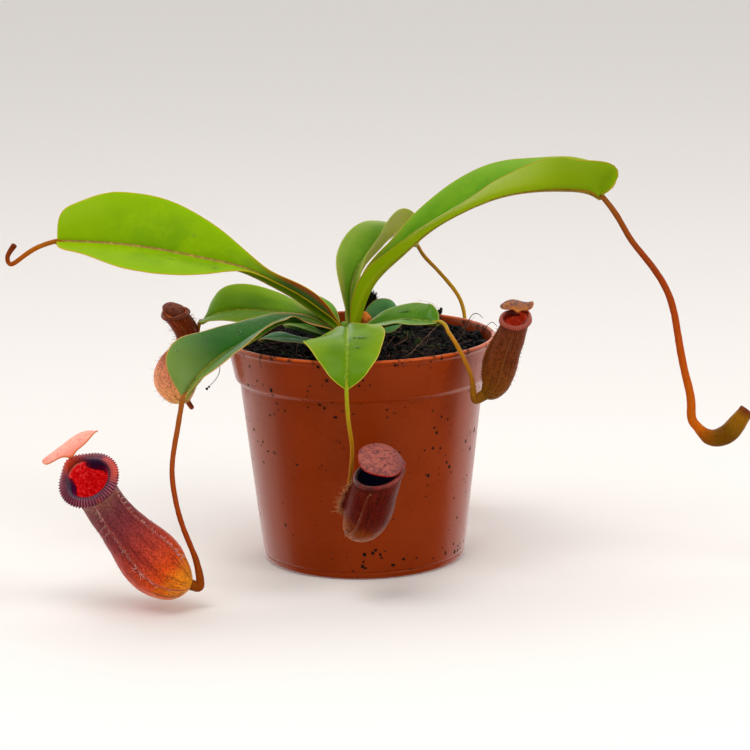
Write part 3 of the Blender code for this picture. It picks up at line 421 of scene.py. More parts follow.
# The fringe on each of a pitcher's two wings, as hairs and their length in mm; its colour at the root and
# at the tip; and the length of the short down on the walls.
FRINGES = {
    "front_left": ((64, 3.6), (120, 2.8), "#B0604A", "#F4DCD4", 1.1),
    "front": ((180, 3.4), (12, 1.6), "#8A4020", "#DCA070", 1.2),
    "front_right": ((110, 1.6), (8, 1.0), "#5A2410", "#B05A34", 1.2),
    "left_low": ((6, 1.2), (90, 2.8), "#6A3A10", "#C8902C", 2.6),
    "back": ((80, 3.0), (80, 3.0), "#B0604A", "#F0D8D0", 1.1),
}

# Water on the leaves: each drop's place along and across its leaf, and its half length and half width.
DROPS = {
    "leaf_left": [(0.62, -0.45, 1.2, 0.9), (0.47, -0.72, 1.2, 0.8), (0.66, -0.3, 0.4, 0.4),
                  (0.56, 0.45, 0.6, 0.5)],
    "leaf_front_left": [(0.58, 0.35, 1.3, 0.6), (0.86, 0.78, 0.9, 0.8), (0.5, -0.4, 0.5, 0.4)],
    "leaf_front": [(0.56, 0.5, 0.7, 0.6), (0.43, -0.62, 0.5, 0.45), (0.46, -0.48, 0.4, 0.35),
                   (0.64, -0.3, 0.7, 3.8), (0.74, -0.32, 0.8, 1.2)],
    "leaf_front_right": [(0.93, 0.25, 0.8, 0.7), (0.62, -0.4, 2.6, 0.8), (0.72, 0.3, 1.8, 0.7)],
}

# Dead roots that hang out over the rim: the points that each passes and its half width.
LOOSE_ROOTS = [
    ([(-46, -16, 88), (-52, -18.3, 92.9), (-56, -19.7, 90.5), (-56.8, -20, 82), (-59.4, -20, 77.4),
      (-62.1, -20, 75)], 0.22),
    ([(43, 26, 88), (45.5, 28.5, 92.4), (47, 29, 94.2), (49, 27.5, 94.6), (51, 26, 93)], 0.26),
    ([(50, 14, 89), (52.5, 13, 92.8), (54.5, 11, 94), (56, 9, 92.8)], 0.2),
    ([(30, 38, 88), (33, 42, 93.4), (30, 47, 96), (24, 49, 97)], 0.07),
    ([(-36, -36, 88), (-38, -38.5, 93), (-39.5, -40, 91), (-39, -40.8, 87)], 0.2),
]


def linear(code):
    """The linear colour that a shader takes, from sRGB hex digits."""
    values = np.array([int(code[i:i + 2], 16) for i in (1, 3, 5)]) / 255
    low = values <= 0.04045
    return (*np.where(low, values / 12.92, ((values + 0.055) / 1.055) ** 2.4).tolist(), 1.0)


def palette(codes):
    """The linear colours of a line of hex codes."""
    return [linear(code) for code in codes.split()]


# Shapes


def unit(vectors):
    """Vectors of length 1 in the same directions."""
    vectors = np.asarray(vectors, float)
    return vectors / np.linalg.norm(vectors, axis=-1, keepdims=True)


def angles(count):
    """This many angles, evenly spaced round a full turn."""
    return np.arange(count) * 2 * math.pi / count


def on_circle(angle):
    """Points at these angles on a circle of radius 1."""
    return np.stack([np.cos(angle), np.sin(angle)], -1)


def spokes(front, left, angle):
    """Directions outwards round each place of an axis: front x cos(angle) + left x sin(angle)."""
    return front[..., None, :] * np.cos(angle)[:, None] + left[..., None, :] * np.sin(angle)[:, None]


def turned_rings(radius, height, angle, centre=(0, 0)):
    """Rings round an upright axis: centre + radius x (cos, sin) of each angle, at these heights."""
    return np.stack([centre[0] + radius * np.cos(angle), centre[1] + radius * np.sin(angle),
                     height + 0 * angle], -1)


def mirrored(grid, axis):
    """A grid and then its mirror image along this axis, as for the two faces of a blade."""
    return np.concatenate([grid, np.flip(grid, axis)], axis)


def spline(knots, values, where):
    """The natural cubic spline through values at knots, read at each place of where."""
    knots = np.asarray(knots, float)
    values = np.asarray(values, float).reshape(len(knots), -1)
    step = np.diff(knots)[:, None]
    slope = np.diff(values, axis=0) / step
    system = np.eye(len(knots))
    right = np.zeros_like(values)
    for i in range(1, len(knots) - 1):
        system[i, i - 1:i + 2] = step[i - 1, 0], 2 * (step[i - 1, 0] + step[i, 0]), step[i, 0]
        right[i] = 6 * (slope[i] - slope[i - 1])
    bend = np.linalg.solve(system, right)
    where = np.atleast_1d(np.asarray(where, float))
    i = np.clip(np.searchsorted(knots, where, side="right") - 1, 0, len(knots) - 2)
    d = (where - knots[i])[:, None]
    rise = slope[i] - step[i] * (2 * bend[i] + bend[i + 1]) / 6
    return values[i] + d * rise + d**2 * bend[i] / 2 + d**3 * (bend[i + 1] - bend[i]) / (6 * step[i])


def route(points, where):
    """The smooth curve through points at shares of its length, and its direction there."""
    points = np.asarray(points, float)
    along = np.concatenate([[0], np.cumsum(np.linalg.norm(np.diff(points, axis=0), axis=1))])
    along /= along[-1]
    where = np.atleast_1d(np.asarray(where, float))
    nudge = 1e-4
    ahead = spline(along, points, np.minimum(where + nudge, 1))
    behind = spline(along, points, np.maximum(where - nudge, 0))
    return spline(along, points, where), unit(ahead - behind)


def read_stations(stations, where):
    """The columns after the first of a list of stations, as smooth functions of the first."""
    table = np.asarray(stations, float)
    return spline(table[:, 0], table[:, 1:], where).T


def axis_frame(points, front, where, mouth=None):
    """The axis at shares of its length, with the normal, front side and left side of a round section.

    Where a mouth's normal is given, the sections turn from square to the axis to the mouth's slant.
    """
    centre, normal = route(points, where)
    if mouth is not None:
        turned = np.clip((np.atleast_1d(where) - SLANT_FROM) / (1 - SLANT_FROM), 0, 1)[:, None]
        normal = unit(normal * (1 - turned) + unit(mouth) * turned)
    left = unit(np.cross(normal, unit(front)))
    return centre, normal, np.cross(left, normal), left


def noise(points, size, seed):
    """Value noise from -1 to 1: random numbers on a cubic lattice of this size, eased between them."""
    table = np.random.default_rng(seed).uniform(-1, 1, 4096)
    place = np.asarray(points, float) / size
    cell = np.floor(place).astype(np.int64)
    part = place - cell
    part = part * part * (3 - 2 * part)
    total = 0
    for corner in range(8):
        step = np.array([corner & 1, corner >> 1 & 1, corner >> 2 & 1])
        weight = np.where(step, part, 1 - part).prod(axis=-1)
        x, y, z = np.moveaxis(cell + step, -1, 0)
        total = total + weight * table[(x * 73856093 ^ y * 19349663 ^ z * 83492791) % len(table)]
    return total


def loft(rings, values=None, loop=False):
    """A closed shape: rings (rows, count, 3), each joined to the next, and a middle point at either end.

    With loop, the last ring is joined to the first instead. values holds a number for each point.
    """
    rows, count = rings.shape[:2]
    index = np.arange(rows * count).reshape(rows, count)
    ahead = np.roll(index, -1, axis=1)
    points = rings.reshape(-1, 3)
    values = {name: np.broadcast_to(value, (rows, count)) for name, value in (values or {}).items()}
    flat = {name: value.ravel() for name, value in values.items()}
    if loop:
        quads = np.stack([index, ahead, np.roll(ahead, -1, axis=0), np.roll(index, -1, axis=0)], -1)
        return {"points": points, "faces": [quads.reshape(-1, 4)], "values": flat}
    quads = np.stack([index[:-1], ahead[:-1], ahead[1:], index[1:]], -1).reshape(-1, 4)
    first = np.full(count, len(points))
    caps = np.vstack([np.column_stack([first, ahead[0], index[0]]),
                      np.column_stack([first + 1, index[-1], ahead[-1]])])
    points = np.vstack([points, rings[0].mean(axis=0), rings[-1].mean(axis=0)])
    for name, value in values.items():
        flat[name] = np.concatenate([flat[name], [value[0].mean(), value[-1].mean()]])
    return {"points": points, "faces": [quads, caps], "values": flat}


def strands(paths, widths, tone, along=1.0):
    """Many thin hairs as one shape: three-sided tubes round paths (hairs, places, 3) of these half widths.

    Their values are along, which rises from 0 at a hair's root to this much at its tip, and a tone.
    """
    hairs, places = paths.shape[:2]
    ahead = unit(np.gradient(paths, axis=1))
    steep = np.abs(ahead[:, :1, 2:]) > 0.8
    side = unit(np.cross(ahead, np.where(steep, (1.0, 0, 0), (0, 0, 1.0))))
    over = np.cross(side, ahead)
    widths = np.broadcast_to(widths, (hairs, places))[..., None, None]
    points = paths[:, :, None] + spokes(side, over, angles(3)) * widths
    index = np.arange(points.size // 3).reshape(hairs, places, 3)
    turned = np.roll(index, -1, axis=2)
    quads = np.stack([index[:, :-1], turned[:, :-1], turned[:, 1:], index[:, 1:]], -1).reshape(-1, 4)
    caps = np.vstack([index[:, 0, ::-1], index[:, -1]])
    values = {name: np.repeat(np.broadcast_to(value, (hairs, places)).ravel(), 3)
              for name, value in (("along", along * np.linspace(0, 1, places)), ("tone", tone))}
    return {"points": points.reshape(-1, 3), "faces": [quads, caps], "values": values}


def lumps(centres, sizes, seed, values, squash=1.0):
    """Many rough grains as one shape: icosahedra turned at random, with each corner pushed in or out."""
    golden = (1 + math.sqrt(5)) / 2
    corners = unit(np.array([(-1, golden, 0), (1, golden, 0), (-1, -golden, 0), (1, -golden, 0),
                             (0, -1, golden), (0, 1, golden), (0, -1, -golden), (0, 1, -golden),
                             (golden, 0, -1), (golden, 0, 1), (-golden, 0, -1), (-golden, 0, 1)]))
    faces = np.array([(0, 11, 5), (0, 5, 1), (0, 1, 7), (0, 7, 10), (0, 10, 11), (1, 5, 9), (5, 11, 4),
                      (11, 10, 2), (10, 7, 6), (7, 1, 8), (3, 9, 4), (3, 4, 2), (3, 2, 6), (3, 6, 8),
                      (3, 8, 9), (4, 9, 5), (2, 4, 11), (6, 2, 10), (8, 6, 7), (9, 8, 1)])
    draw = np.random.default_rng(seed)
    count = len(centres)
    turns = np.linalg.qr(draw.normal(size=(count, 3, 3)))[0]
    turns[np.linalg.det(turns) < 0] *= -1
    push = draw.uniform(0.7, 1.25, (count, 12, 1)) * np.reshape(sizes, (-1, 1, 1))
    shaped = corners * push @ turns
    shaped[..., 2] *= squash
    points = shaped + centres[:, None]
    faces = (faces[None] + 12 * np.arange(count)[:, None, None]).reshape(-1, 3)
    values = {name: np.repeat(np.broadcast_to(value, count), 12) for name, value in values.items()}
    return {"points": points.reshape(-1, 3), "faces": [faces], "values": values}


def joined(*shapes):
    """Several shapes as one."""
    faces, start = [], 0
    for shape in shapes:
        faces += [part + start for part in shape["faces"]]
        start += len(shape["points"])
    names = set().union(*(shape["values"] for shape in shapes))
    blank = [np.zeros(len(shape["points"])) for shape in shapes]
    values = {name: np.concatenate([shape["values"].get(name, zero) for shape, zero in zip(shapes, blank)])
              for name in sorted(names)}
    return {"points": np.vstack([shape["points"] for shape in shapes]), "faces": faces, "values": values}


def build_mesh(name, shape):
    """A smooth mesh of this closed shape, its faces turned outwards: then it holds a positive volume."""
    points, faces = shape["points"], shape["faces"]
    triangles = np.vstack([part[:, [0, i, i + 1]] for part in faces for i in range(1, part.shape[1] - 1)])
    a, b, c = np.moveaxis(points[triangles], 1, 0)
    if np.einsum("ij,ij->i", a, np.cross(b, c)).sum() < 0:
        faces = [part[:, ::-1] for part in faces]
    sizes = np.concatenate([np.full(len(part), part.shape[1]) for part in faces])
    mesh = bpy.data.meshes.new(name)
    mesh.vertices.add(len(points))
    mesh.vertices.foreach_set("co", (points * MM).astype(np.float32).ravel())
    mesh.loops.add(int(sizes.sum()))
    mesh.loops.foreach_set("vertex_index", np.concatenate([part.ravel() for part in faces]).astype(np.int32))
    mesh.polygons.add(len(sizes))
    mesh.polygons.foreach_set("loop_start", (np.cumsum(sizes) - sizes).astype(np.int32))
    mesh.update(calc_edges=True)
    for label, value in shape["values"].items():
        mesh.attributes.new(label, "FLOAT", "POINT").data.foreach_set("value", value.astype(np.float32))
    mesh.shade_smooth()
    return mesh


def add_piece(name, shape, material, slot, *nodes):
    """An object of this shape, or mesh, that rides on the plant's body and stands for these nodes."""
    mesh = shape
    if isinstance(shape, dict):
        # Nothing stands out beyond the solids' own box.
        shape["points"] = np.clip(shape["points"], *(np.array(cad_box) / MM))
        mesh = build_mesh(name, shape)
    mesh.materials.append(material)
    piece = bpy.data.objects.new(name, mesh)
    bpy.context.scene.collection.objects.link(piece)
    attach(piece, "root")
    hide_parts(*nodes)


def pot_profile():
    """The pot's section, from the middle of the inner floor, over the rim and down to the middle below."""
    band_foot = POT_HEIGHT - BAND_HEIGHT
    inner = [(0, FLOOR_TOP), (BASE_RADIUS - 2.6, FLOOR_TOP), (BASE_RADIUS - WALL - 0.3, FLOOR_TOP + 1.4),
             (BODY_RADIUS - WALL, band_foot - 1.5), (BAND_RADIUS - WALL, band_foot + 2),
             (RIM_RADIUS - WALL - 0.8, POT_HEIGHT - 2), (RIM_RADIUS - WALL - 0.4, POT_HEIGHT - 0.2)]
    outer = [(RIM_RADIUS - 0.6, POT_HEIGHT), (RIM_RADIUS, POT_HEIGHT - 0.7), (RIM_RADIUS, POT_HEIGHT - 1.7),
             (RIM_RADIUS - 0.6, POT_HEIGHT - 2.5), (BAND_RADIUS, band_foot + 1.2),
             (BAND_RADIUS - 0.5, band_foot + 0.3), (BODY_RADIUS, band_foot - 0.6),
             (BASE_RADIUS + 0.1, 3.4), (BASE_RADIUS - 0.4, 3.0), (BASE_RADIUS - 0.1, 2.4),
             (BASE_RADIUS - 0.3, 0.8), (BASE_RADIUS - 1.2, 0)]
    below = [(BASE_RADIUS - 4.2, 0), (BASE_RADIUS - 5.2, FOOT_RECESS), (HOLE_RING - 7.5, FOOT_RECESS),
             (HOLE_RING - 8.5, 0), (0, 0)]
    return inner, outer, below


def inner_radius(height):
    """The pot's inner radius at a height."""
    wall = pot_profile()[0][1:]
    return float(np.interp(height, [z for _, z in wall], [r for r, _ in wall]))


def soil_height(x, y):
    """The soil's lumpy top: waves of three sizes, a low mound at the stem and a flat spot for the tuft.

    It heaps up against the wall, more so at the front.
    """
    x, y = np.asarray(x, float), np.asarray(y, float)
    waves = np.sin(x / 5.3 + 1.1) * np.sin(y / 4.7 + 0.4) + 0.6 * np.sin(x / 2.9 - y / 3.4 + 2)
    waves += 0.8 * np.sin(x / 11 + 2) * np.sin(y / 9)
    tuft = np.hypot(x - TUFT_PLACE[0], y - TUFT_PLACE[1])
    stem = np.hypot(x - STEM_PLACE[0], y - STEM_PLACE[1])
    level = 1 / (1 + np.exp((TUFT_RADIUS + 2.5 - tuft) * 1.5))
    calm = level * np.clip((stem - 5) / 12, 0, 1)
    heap = np.clip((np.hypot(x, y) - 30) / 18, 0, 1)
    heap = (2.6 - y / 50) * heap * heap * (3 - 2 * heap)
    return SOIL_LEVEL + SOIL_LUMPS * waves * calm + 0.8 * np.exp(-(stem / 9) ** 2) + heap


def pot_shape(sides):
    """The section turned about Z, each corner of it rounded by a short curve of five points."""
    corners = np.array(sum(pot_profile(), []), float)
    here, before, after = corners[1:-1], corners[:-2], corners[2:]
    back, on = np.linalg.norm(before - here, axis=1), np.linalg.norm(after - here, axis=1)
    start = here + (before - here) * (np.minimum(0.45, back / 2.3) / back)[:, None]
    end = here + (after - here) * (np.minimum(0.45, on / 2.3) / on)[:, None]
    t = np.linspace(0, 1, 5)[:, None, None]
    curves = (1 - t) ** 2 * start + 2 * t * (1 - t) * here + t**2 * end
    section = curves.transpose(1, 0, 2).reshape(-1, 2)
    section = np.vstack([(0.4, corners[0, 1]), section, (0.4, corners[-1, 1])])
    # Long straight stretches get rows in between, so that their faces aren't slivers.
    length = np.concatenate([[0], np.cumsum(np.linalg.norm(np.diff(section, axis=0), axis=1))])
    extra = np.arange(0, length[-1], 2.5)
    where = np.unique(np.concatenate([length, extra]))
    radius, height = (np.interp(where, length, column) for column in section.T)
    return loft(turned_rings(radius[:, None], height[:, None], angles(sides)))


def soil_shape(sides, rows):
    """The soil's top from the stem out to the wall, with crumbs raised on it, and its side down the pot."""
    circle = on_circle(angles(sides))
    middle = np.array(STEM_PLACE)
    hole = 0.5
    edge = inner_radius(SOIL_LEVEL - 3) - GAP
    share = np.linspace(0, 1, rows)[:, None, None] ** 0.8
    flat = middle * (1 - share) + circle * (hole + (edge - hole) * share)
    height = soil_height(flat[..., 0], flat[..., 1])
    place = np.concatenate([flat, height[..., None]], -1)
    rough = 0.9 * np.abs(noise(place, 3.1, 11)) + 0.45 * np.abs(noise(place, 1.4, 12)) - 0.6
    rough += 0.5 * np.clip(noise(place, 7.0, 13), 0, 1)
    calm = np.clip((1 - share[..., 0]) * 30, 0, 1)
    place[..., 2] += rough * calm
    low = [SOIL_LEVEL - 3, POT_HEIGHT - BAND_HEIGHT - 1.8, FLOOR_TOP + 1.8, FLOOR_TOP + GAP]
    radii = [edge, inner_radius(low[1]) - GAP, inner_radius(low[2]) - GAP, BASE_RADIUS - 3.4]
    side = [np.column_stack([circle * radius, np.full(sides, z)]) for radius, z in zip(radii, low)]
    return loft(np.concatenate([place, side]))


def leaf_midrib(data):
    """The midrib's points, from just off the stem's side to the tip."""
    degrees, height = data["from"]
    turn = math.radians(degrees)
    off = STEM_RADIUS + NODE_GAP + data.get("off", 0)
    base = (STEM_PLACE[0] + off * math.cos(turn), STEM_PLACE[1] + off * math.sin(turn), height)
    return [base, *data["midrib"]]


def leaf_grid(data, along, across):
    """A blade: each half runs out from the midrib at its own slope, bulged a little between.

    along goes from base (0) to tip (1), and across from the left margin (-1) to the right one (1).
    Returns the points and the distance of each from the midrib and from the margin.
    """
    middle, ahead = route(leaf_midrib(data), along)
    side = unit(np.cross(ahead, (0, 0, 1)))
    up = np.cross(side, ahead)
    left, right, left_lift, right_lift, lean = read_stations(data["stations"], along)
    share = across[None]
    width = np.where(share < 0, left[:, None], right[:, None])
    turn = np.radians(np.where(share < 0, left_lift[:, None], right_lift[:, None]))[..., None]
    outward = np.sign(share)[..., None] * side[:, None]
    out = np.cos(turn) * outward + np.sin(turn) * up[:, None]
    over = np.cos(turn) * up[:, None] - np.sin(turn) * outward
    reach = np.maximum(width, LEAST_HALF_WIDTH) * np.abs(share)
    bulge = LEAF_BULGE * reach * (1 - np.abs(share))
    points = middle[:, None] + out * reach[..., None] + over * bulge[..., None]
    points += ahead[:, None] * (lean[:, None] * share**2)[..., None]
    return points, reach, np.maximum(width, LEAST_HALF_WIDTH) - reach


def leaf_waves(points, share, seed):
    """Slow waves in mm that a blade's faces and the water on it follow, with none at the rib."""
    return 0.3 * noise(points, 13.0, seed) * share + 0.1 * noise(points, 4.5, seed + 1) * share**2


def leaf_shape(data, seed, blade, rib, rows=130, columns=48):
    """The blade's upper face and its underside, set apart by the blade's thickness, and more at the rib.

    The columns stand closer at the rib and at the margins: across = t - 0.75 sin(2 pi t) / (2 pi). Both
    faces take the same slow waves, so the leaf isn't flat anywhere, and a shallow groove over the rib.
    """
    along = np.linspace(0, 1, rows + 1)
    t = np.linspace(-1, 1, columns + 1)
    across = t - 0.75 * np.sin(2 * math.pi * t) / (2 * math.pi)
    top, from_rib, from_edge = leaf_grid(data, along, across)
    length = np.linalg.norm(np.diff(top[:, columns // 2], axis=0), axis=1).sum()
    normal = unit(np.cross(np.gradient(top, axis=1), np.gradient(top, axis=0)))
    share = np.abs(across)[None]
    groove = 0.3 * np.exp(-(from_rib / 0.8) ** 2)
    top = top + normal * (leaf_waves(top, share, seed) - groove)[..., None]
    fade = 1 - 0.35 * along[:, None]
    thick = blade * (1 - 0.55 * share**6) + rib * fade * np.exp(-(from_rib / 1.15) ** 2)
    under = top - normal * thick[..., None]
    run = along[:, None] * length - 1.1 * from_rib
    rings = np.concatenate([top, under[:, ::-1]], 1)
    blank = np.zeros_like(from_rib)
    grids = {"share": share + blank, "rib_mm": from_rib, "edge_mm": from_edge, "run_mm": run,
             "along": along[:, None] + blank}
    values = {name: mirrored(grid, 1) for name, grid in grids.items()}
    values["under"] = np.concatenate([blank, blank + 1], 1)
    # The base goes on into the stem, and the tip draws in to a point under the tendril.
    ahead = route(leaf_midrib(data), [0, 1])[1]
    foot = [rings[:1] - ahead[0] * reach for reach in (3.4, 1.7)]
    end = rings[-1:].mean(axis=1, keepdims=True)
    tip = [end + (rings[-1:] - end) * wide + ahead[1] * reach for wide, reach in ((0.7, 0.6), (0.2, 1.3))]
    rings = np.concatenate([*foot, rings, *tip])
    repeated = [0, 0, *range(rows + 1), rows, rows]
    return loft(rings, {name: value[repeated] for name, value in values.items()})


def drops_shape(data, drops, seed):
    """Drops of water on a leaf's upper face: each a low dome whose foot is sunk a little in the skin."""
    shapes = []
    turn = angles(20)[None, :, None]
    t = np.linspace(-0.6, 1.45, 10)[:, None, None]
    for along, across, long, wide in drops:
        near = leaf_grid(data, along + np.array([-0.01, 0, 0.01]), across + np.array([-0.03, 0, 0.03]))[0]
        x = unit(near[2, 1] - near[0, 1])
        up = unit(np.cross(near[1, 2] - near[1, 0], x))
        y = np.cross(up, x)
        foot = near[1, 1] + up * leaf_waves(near[1, 1], abs(across), seed)
        wobble = 1 + 0.12 * np.sin(2 * turn + across * 40) + 0.08 * np.sin(3 * turn + along * 50)
        flat = (x * long * np.cos(turn) + y * wide * np.sin(turn)) * wobble
        shapes.append(loft(foot + flat * np.cos(t) + up * 0.5 * min(long, wide) * np.sin(t)))
    return joined(*shapes)


def tube_frame(ahead):
    """Two directions square to a wire all along, worked out from the one that it turns towards least."""
    least = np.linalg.svd(ahead)[2][-1]
    side = unit(np.cross(ahead, least))
    return side, np.cross(side, ahead)


def tendril_path(data):
    """The tendril's middle line and half width: from under its leaf's rib to inside what it carries."""
    tip, ahead = (part[0] for part in route(leaf_midrib(LEAVES[data["leaf"]]), 1))
    points = [tip + ahead * NODE_GAP, *data["points"]]
    carried = data.get("carries")
    if carried:
        axis = BUD_AXIS if carried == "bud_right" else PITCHERS[carried]["axis"]
        start, way = (part[0] for part in route(axis, 0))
        points += [start - way * APPROACH, start - way * NODE_GAP]
    where = np.linspace(0, 1, 120)
    middle, direction = route(points, where)
    swell = np.clip((where - 0.72) / 0.28, 0, 1)
    radius = np.linspace(*data["radius"], 120) + FOOT_SWELLS[carried] * swell * swell
    sunk = np.array([(4.5, 0.75, 0.35), (3.0, 0.7, 0.6), (1.4, 0.4, 0.85)])
    before = tip - ahead * sunk[:, :1] - np.array([0, 0, 1]) * sunk[:, 1:2]
    path, width = [before, middle], [radius[0] * sunk[:, 2], radius]
    if carried:
        path.append(start + way * np.array([0.5, 1.5, 2.6])[:, None])
        width.append(radius[-1] * np.array([1.05, 1.1, 0.9]))
    else:
        path.append(middle[-1] + direction[-1] * np.array([0.35, 0.6])[:, None])
        width.append(radius[-1] * np.array([0.85, 0.45]))
    return np.vstack(path), np.concatenate(width)


def tendril_shape(data, seed, sides=18):
    """A round wire along the tendril's path, a little uneven in width and swollen before its pitcher."""
    path, width = tendril_path(data)
    ahead = unit(np.gradient(path, axis=0))
    spoke = spokes(*tube_frame(ahead), angles(sides))
    rings = path[:, None] + spoke * width[:, None, None]
    rings += spoke * (0.07 * noise(rings, 2.2, seed))[..., None]
    return loft(rings, {"along": np.linspace(0, 1, len(path))[:, None]})


def wing_angles(count, wing):
    """Angles round a pitcher that stand closer together at its two wings."""
    fine = np.linspace(-math.pi, math.pi, 4001)
    density = 1 + 5 * (np.exp(-((fine - wing) / 0.12) ** 2) + np.exp(-((fine + wing) / 0.12) ** 2))
    total = np.concatenate([[0], np.cumsum((density[1:] + density[:-1]) / 2)])
    return np.interp(np.arange(count) / count * total[-1], total, fine)


def wing_ridge(angle, wing):
    """How far up a wing a place at this angle is, from 0 to 1, a ridge some 0.05 radians wide."""
    return np.exp(-((angle - wing) / 0.055) ** 2) + np.exp(-((angle + wing) / 0.055) ** 2)


def pitcher_wall(data, where, angle, wing_height, seed, inside=False):
    """Places on a pitcher's wall at shares of its axis and angles from its front."""
    radius = read_stations(data["radii"], where)[0]
    centre, _, front, left = axis_frame(data["axis"], data["front"], where, data["mouth"])
    spoke = spokes(front, left, angle)
    if inside:
        depth = np.clip((where - data["floor"]) / (1 - data["floor"]), 0, 1)
        radius = (radius - PITCHER_WALL) * np.minimum(1, CUP_FLOOR_RADIUS + 2.2 * depth)
        return centre[:, None] + spoke * radius[:, None, None]
    grown = np.sin(math.pi * np.clip((where - 0.05) / 0.93, 0, 1))
    rings = centre[:, None] + spoke * radius[:, None, None]
    calm = np.clip(np.minimum(where, 1 - where) * 12, 0, 1)[:, None]
    relief = 0.3 * noise(rings, 7.0, seed) * calm + 0.1 * noise(rings, 2.4, seed + 1) * calm
    ridge = wing_height * grown[:, None] * wing_ridge(angle, math.radians(data["wings"]))
    return rings + spoke * (relief + ridge)[..., None]


def pitcher_shape(data, wing_height, seed, sides=132):
    """A cup on a bent axis: outside up from the tendril to the slanted mouth, and down the inside."""
    wing = math.radians(data["wings"])
    angle = wing_angles(sides, wing)
    rise = np.linspace(0, 1, 96) ** FIRST_ROWS_CLOSER
    sink = np.linspace(1, data["floor"], 46)
    outside = pitcher_wall(data, rise, angle, wing_height, seed)
    within = pitcher_wall(data, sink, angle, 0, seed, inside=True)
    # The wall goes on up under the lip, further at the hinge, so no light shows between the two.
    normal = axis_frame(data["axis"], data["front"], 1, data["mouth"])[1]
    inner, outer = data["ring"]
    reach = 0.16 * (outer - inner) + 0.5 + 0.6 * np.exp(-((np.abs(angle) - math.pi) / 0.5) ** 2)
    step = normal * reach[:, None]
    rings = np.concatenate([outside, outside[-1:] + step, within[:1] + step, within])
    where = np.concatenate([rise, [1, 1], sink])[:, None]
    inside = np.concatenate([np.zeros(len(rise) + 1), np.ones(len(sink) + 1)])[:, None]
    values = {"along": where, "inside": inside, "ring_x": np.cos(angle)[None], "ring_y": np.sin(angle)[None],
              "wing": wing_ridge(angle, wing)[None] * (1 - inside)}
    return loft(rings, values)


def ring_shape(data, seed, corners=22):
    """A lip that arches over the mouth's edge: a rounded section carried round it, ribbed across.

    Each rib stands out most at the outer edge, where it ends in a small tooth. Towards the hinge the lip
    rises, and its inner edge draws out to a point.
    """
    frame = axis_frame(data["axis"], data["front"], 1, data["mouth"])
    centre, normal, front, left = (part[0] for part in frame)
    inner, outer = data["ring"]
    half, middle = (outer - inner) / 2, (outer + inner) / 2
    steps = data["ribs"] * 4
    turn = angles(steps)[:, None]
    corner = angles(corners)[None]
    x, y = np.cos(corner), np.sin(corner)
    crest = 0.5 + 0.5 * np.cos(turn * data["ribs"])
    crest = crest**1.5 * (0.8 + 0.2 * np.sin(turn * 5 + seed))
    tooth = 0.3 * half * crest * np.clip(x, 0, 1) ** 3 + 0.05 * half * crest
    hinge = np.exp(-((turn - math.pi) / 0.45) ** 2)
    # The inner edge closes in on either side of the hinge, so that the opening is a teardrop.
    beside = np.exp(-((np.abs(turn - math.pi) - 1.0) / 0.5) ** 2)
    radial = middle + half * x + tooth + (0.4 * hinge - 0.26 * beside) * half * (1 - x)
    # The whole lip reaches out towards the lid, so that its outline has a blunt corner there.
    radial = radial + 0.16 * middle * np.exp(-((turn - math.pi) / 0.42) ** 2)
    thick = 0.3 + 0.2 * half
    arch = (0.5 + 0.35 * half) * (1 - x * x)
    high = 0.35 + arch + (thick + 0.32 * half * (crest - 0.5) * (1 - 0.5 * x * x)) * y
    high = high + 0.35 * hinge * half - 0.75 * half * np.clip((-x - 0.3) / 0.7, 0, 1) ** 2
    wander = 0.12 * half * np.sin(3 * turn + seed) + 0.07 * half * np.sin(7 * turn + 2 * seed)
    spoke = spokes(front, left, turn[:, 0])[:, None]
    rings = centre + spoke * (radial + 0.3 * wander)[..., None] + normal * (high + 0.4 * wander)[..., None]
    return loft(rings, {"across": x, "crest": crest, "hinge": hinge}, loop=True)


def lid_shape(data, bend, point, dome, thickness, seed, around=120, rows=26):
    """A thin oval plate with a short neck at the hinge: domed, thin at its edge, and waved a little.

    bend lifts one side and lowers the other, as an S across the lid. point is 1 for an oval, and more
    for a lid that narrows to either side.
    """
    middle, ahead, up, length, width = data["lid"]
    ahead = unit(ahead)
    side = unit(np.cross(up, ahead))
    up = np.cross(ahead, side)
    turn = np.linspace(-math.pi, math.pi, around, endpoint=False)[None]
    share = np.linspace(0.02, 1, rows)[:, None] ** 0.8
    neck = np.exp(-(turn / 0.17) ** 2) * share**3
    pointed = np.sign(np.cos(turn)) * np.abs(np.cos(turn)) ** point
    forward = -pointed * (1 + LID_NECK * neck) * length / 2 * share
    sideways = np.sin(turn) * width / 2 * share
    high = dome * width * (1 - share**2) - LID_DROP * neck
    across = sideways / (width / 2)
    high = high + bend * (across**3 - 0.6 * across) * width / 2
    high = high + 0.02 * width * share**3 * np.sin(4 * turn + seed)
    face = middle + ahead * forward[..., None] + side * sideways[..., None] + up * high[..., None]
    normal = unit(np.cross(np.gradient(face, axis=1), np.gradient(face, axis=0)))
    normal *= np.sign(normal[rows // 2] @ up).mean()
    thick = (thickness / 2 * (1 - 0.6 * share**5) + 0.25 * neck)[..., None]
    rings = np.concatenate([face + normal * thick, (face - normal * thick)[::-1]])
    hinge = np.clip(-forward / length * 2, 0, 1) ** 2
    return loft(rings, {"share": mirrored(share, 0), "hinge": mirrored(hinge, 0),
                        "under": np.repeat([0.0, 1.0], rows)[:, None]})


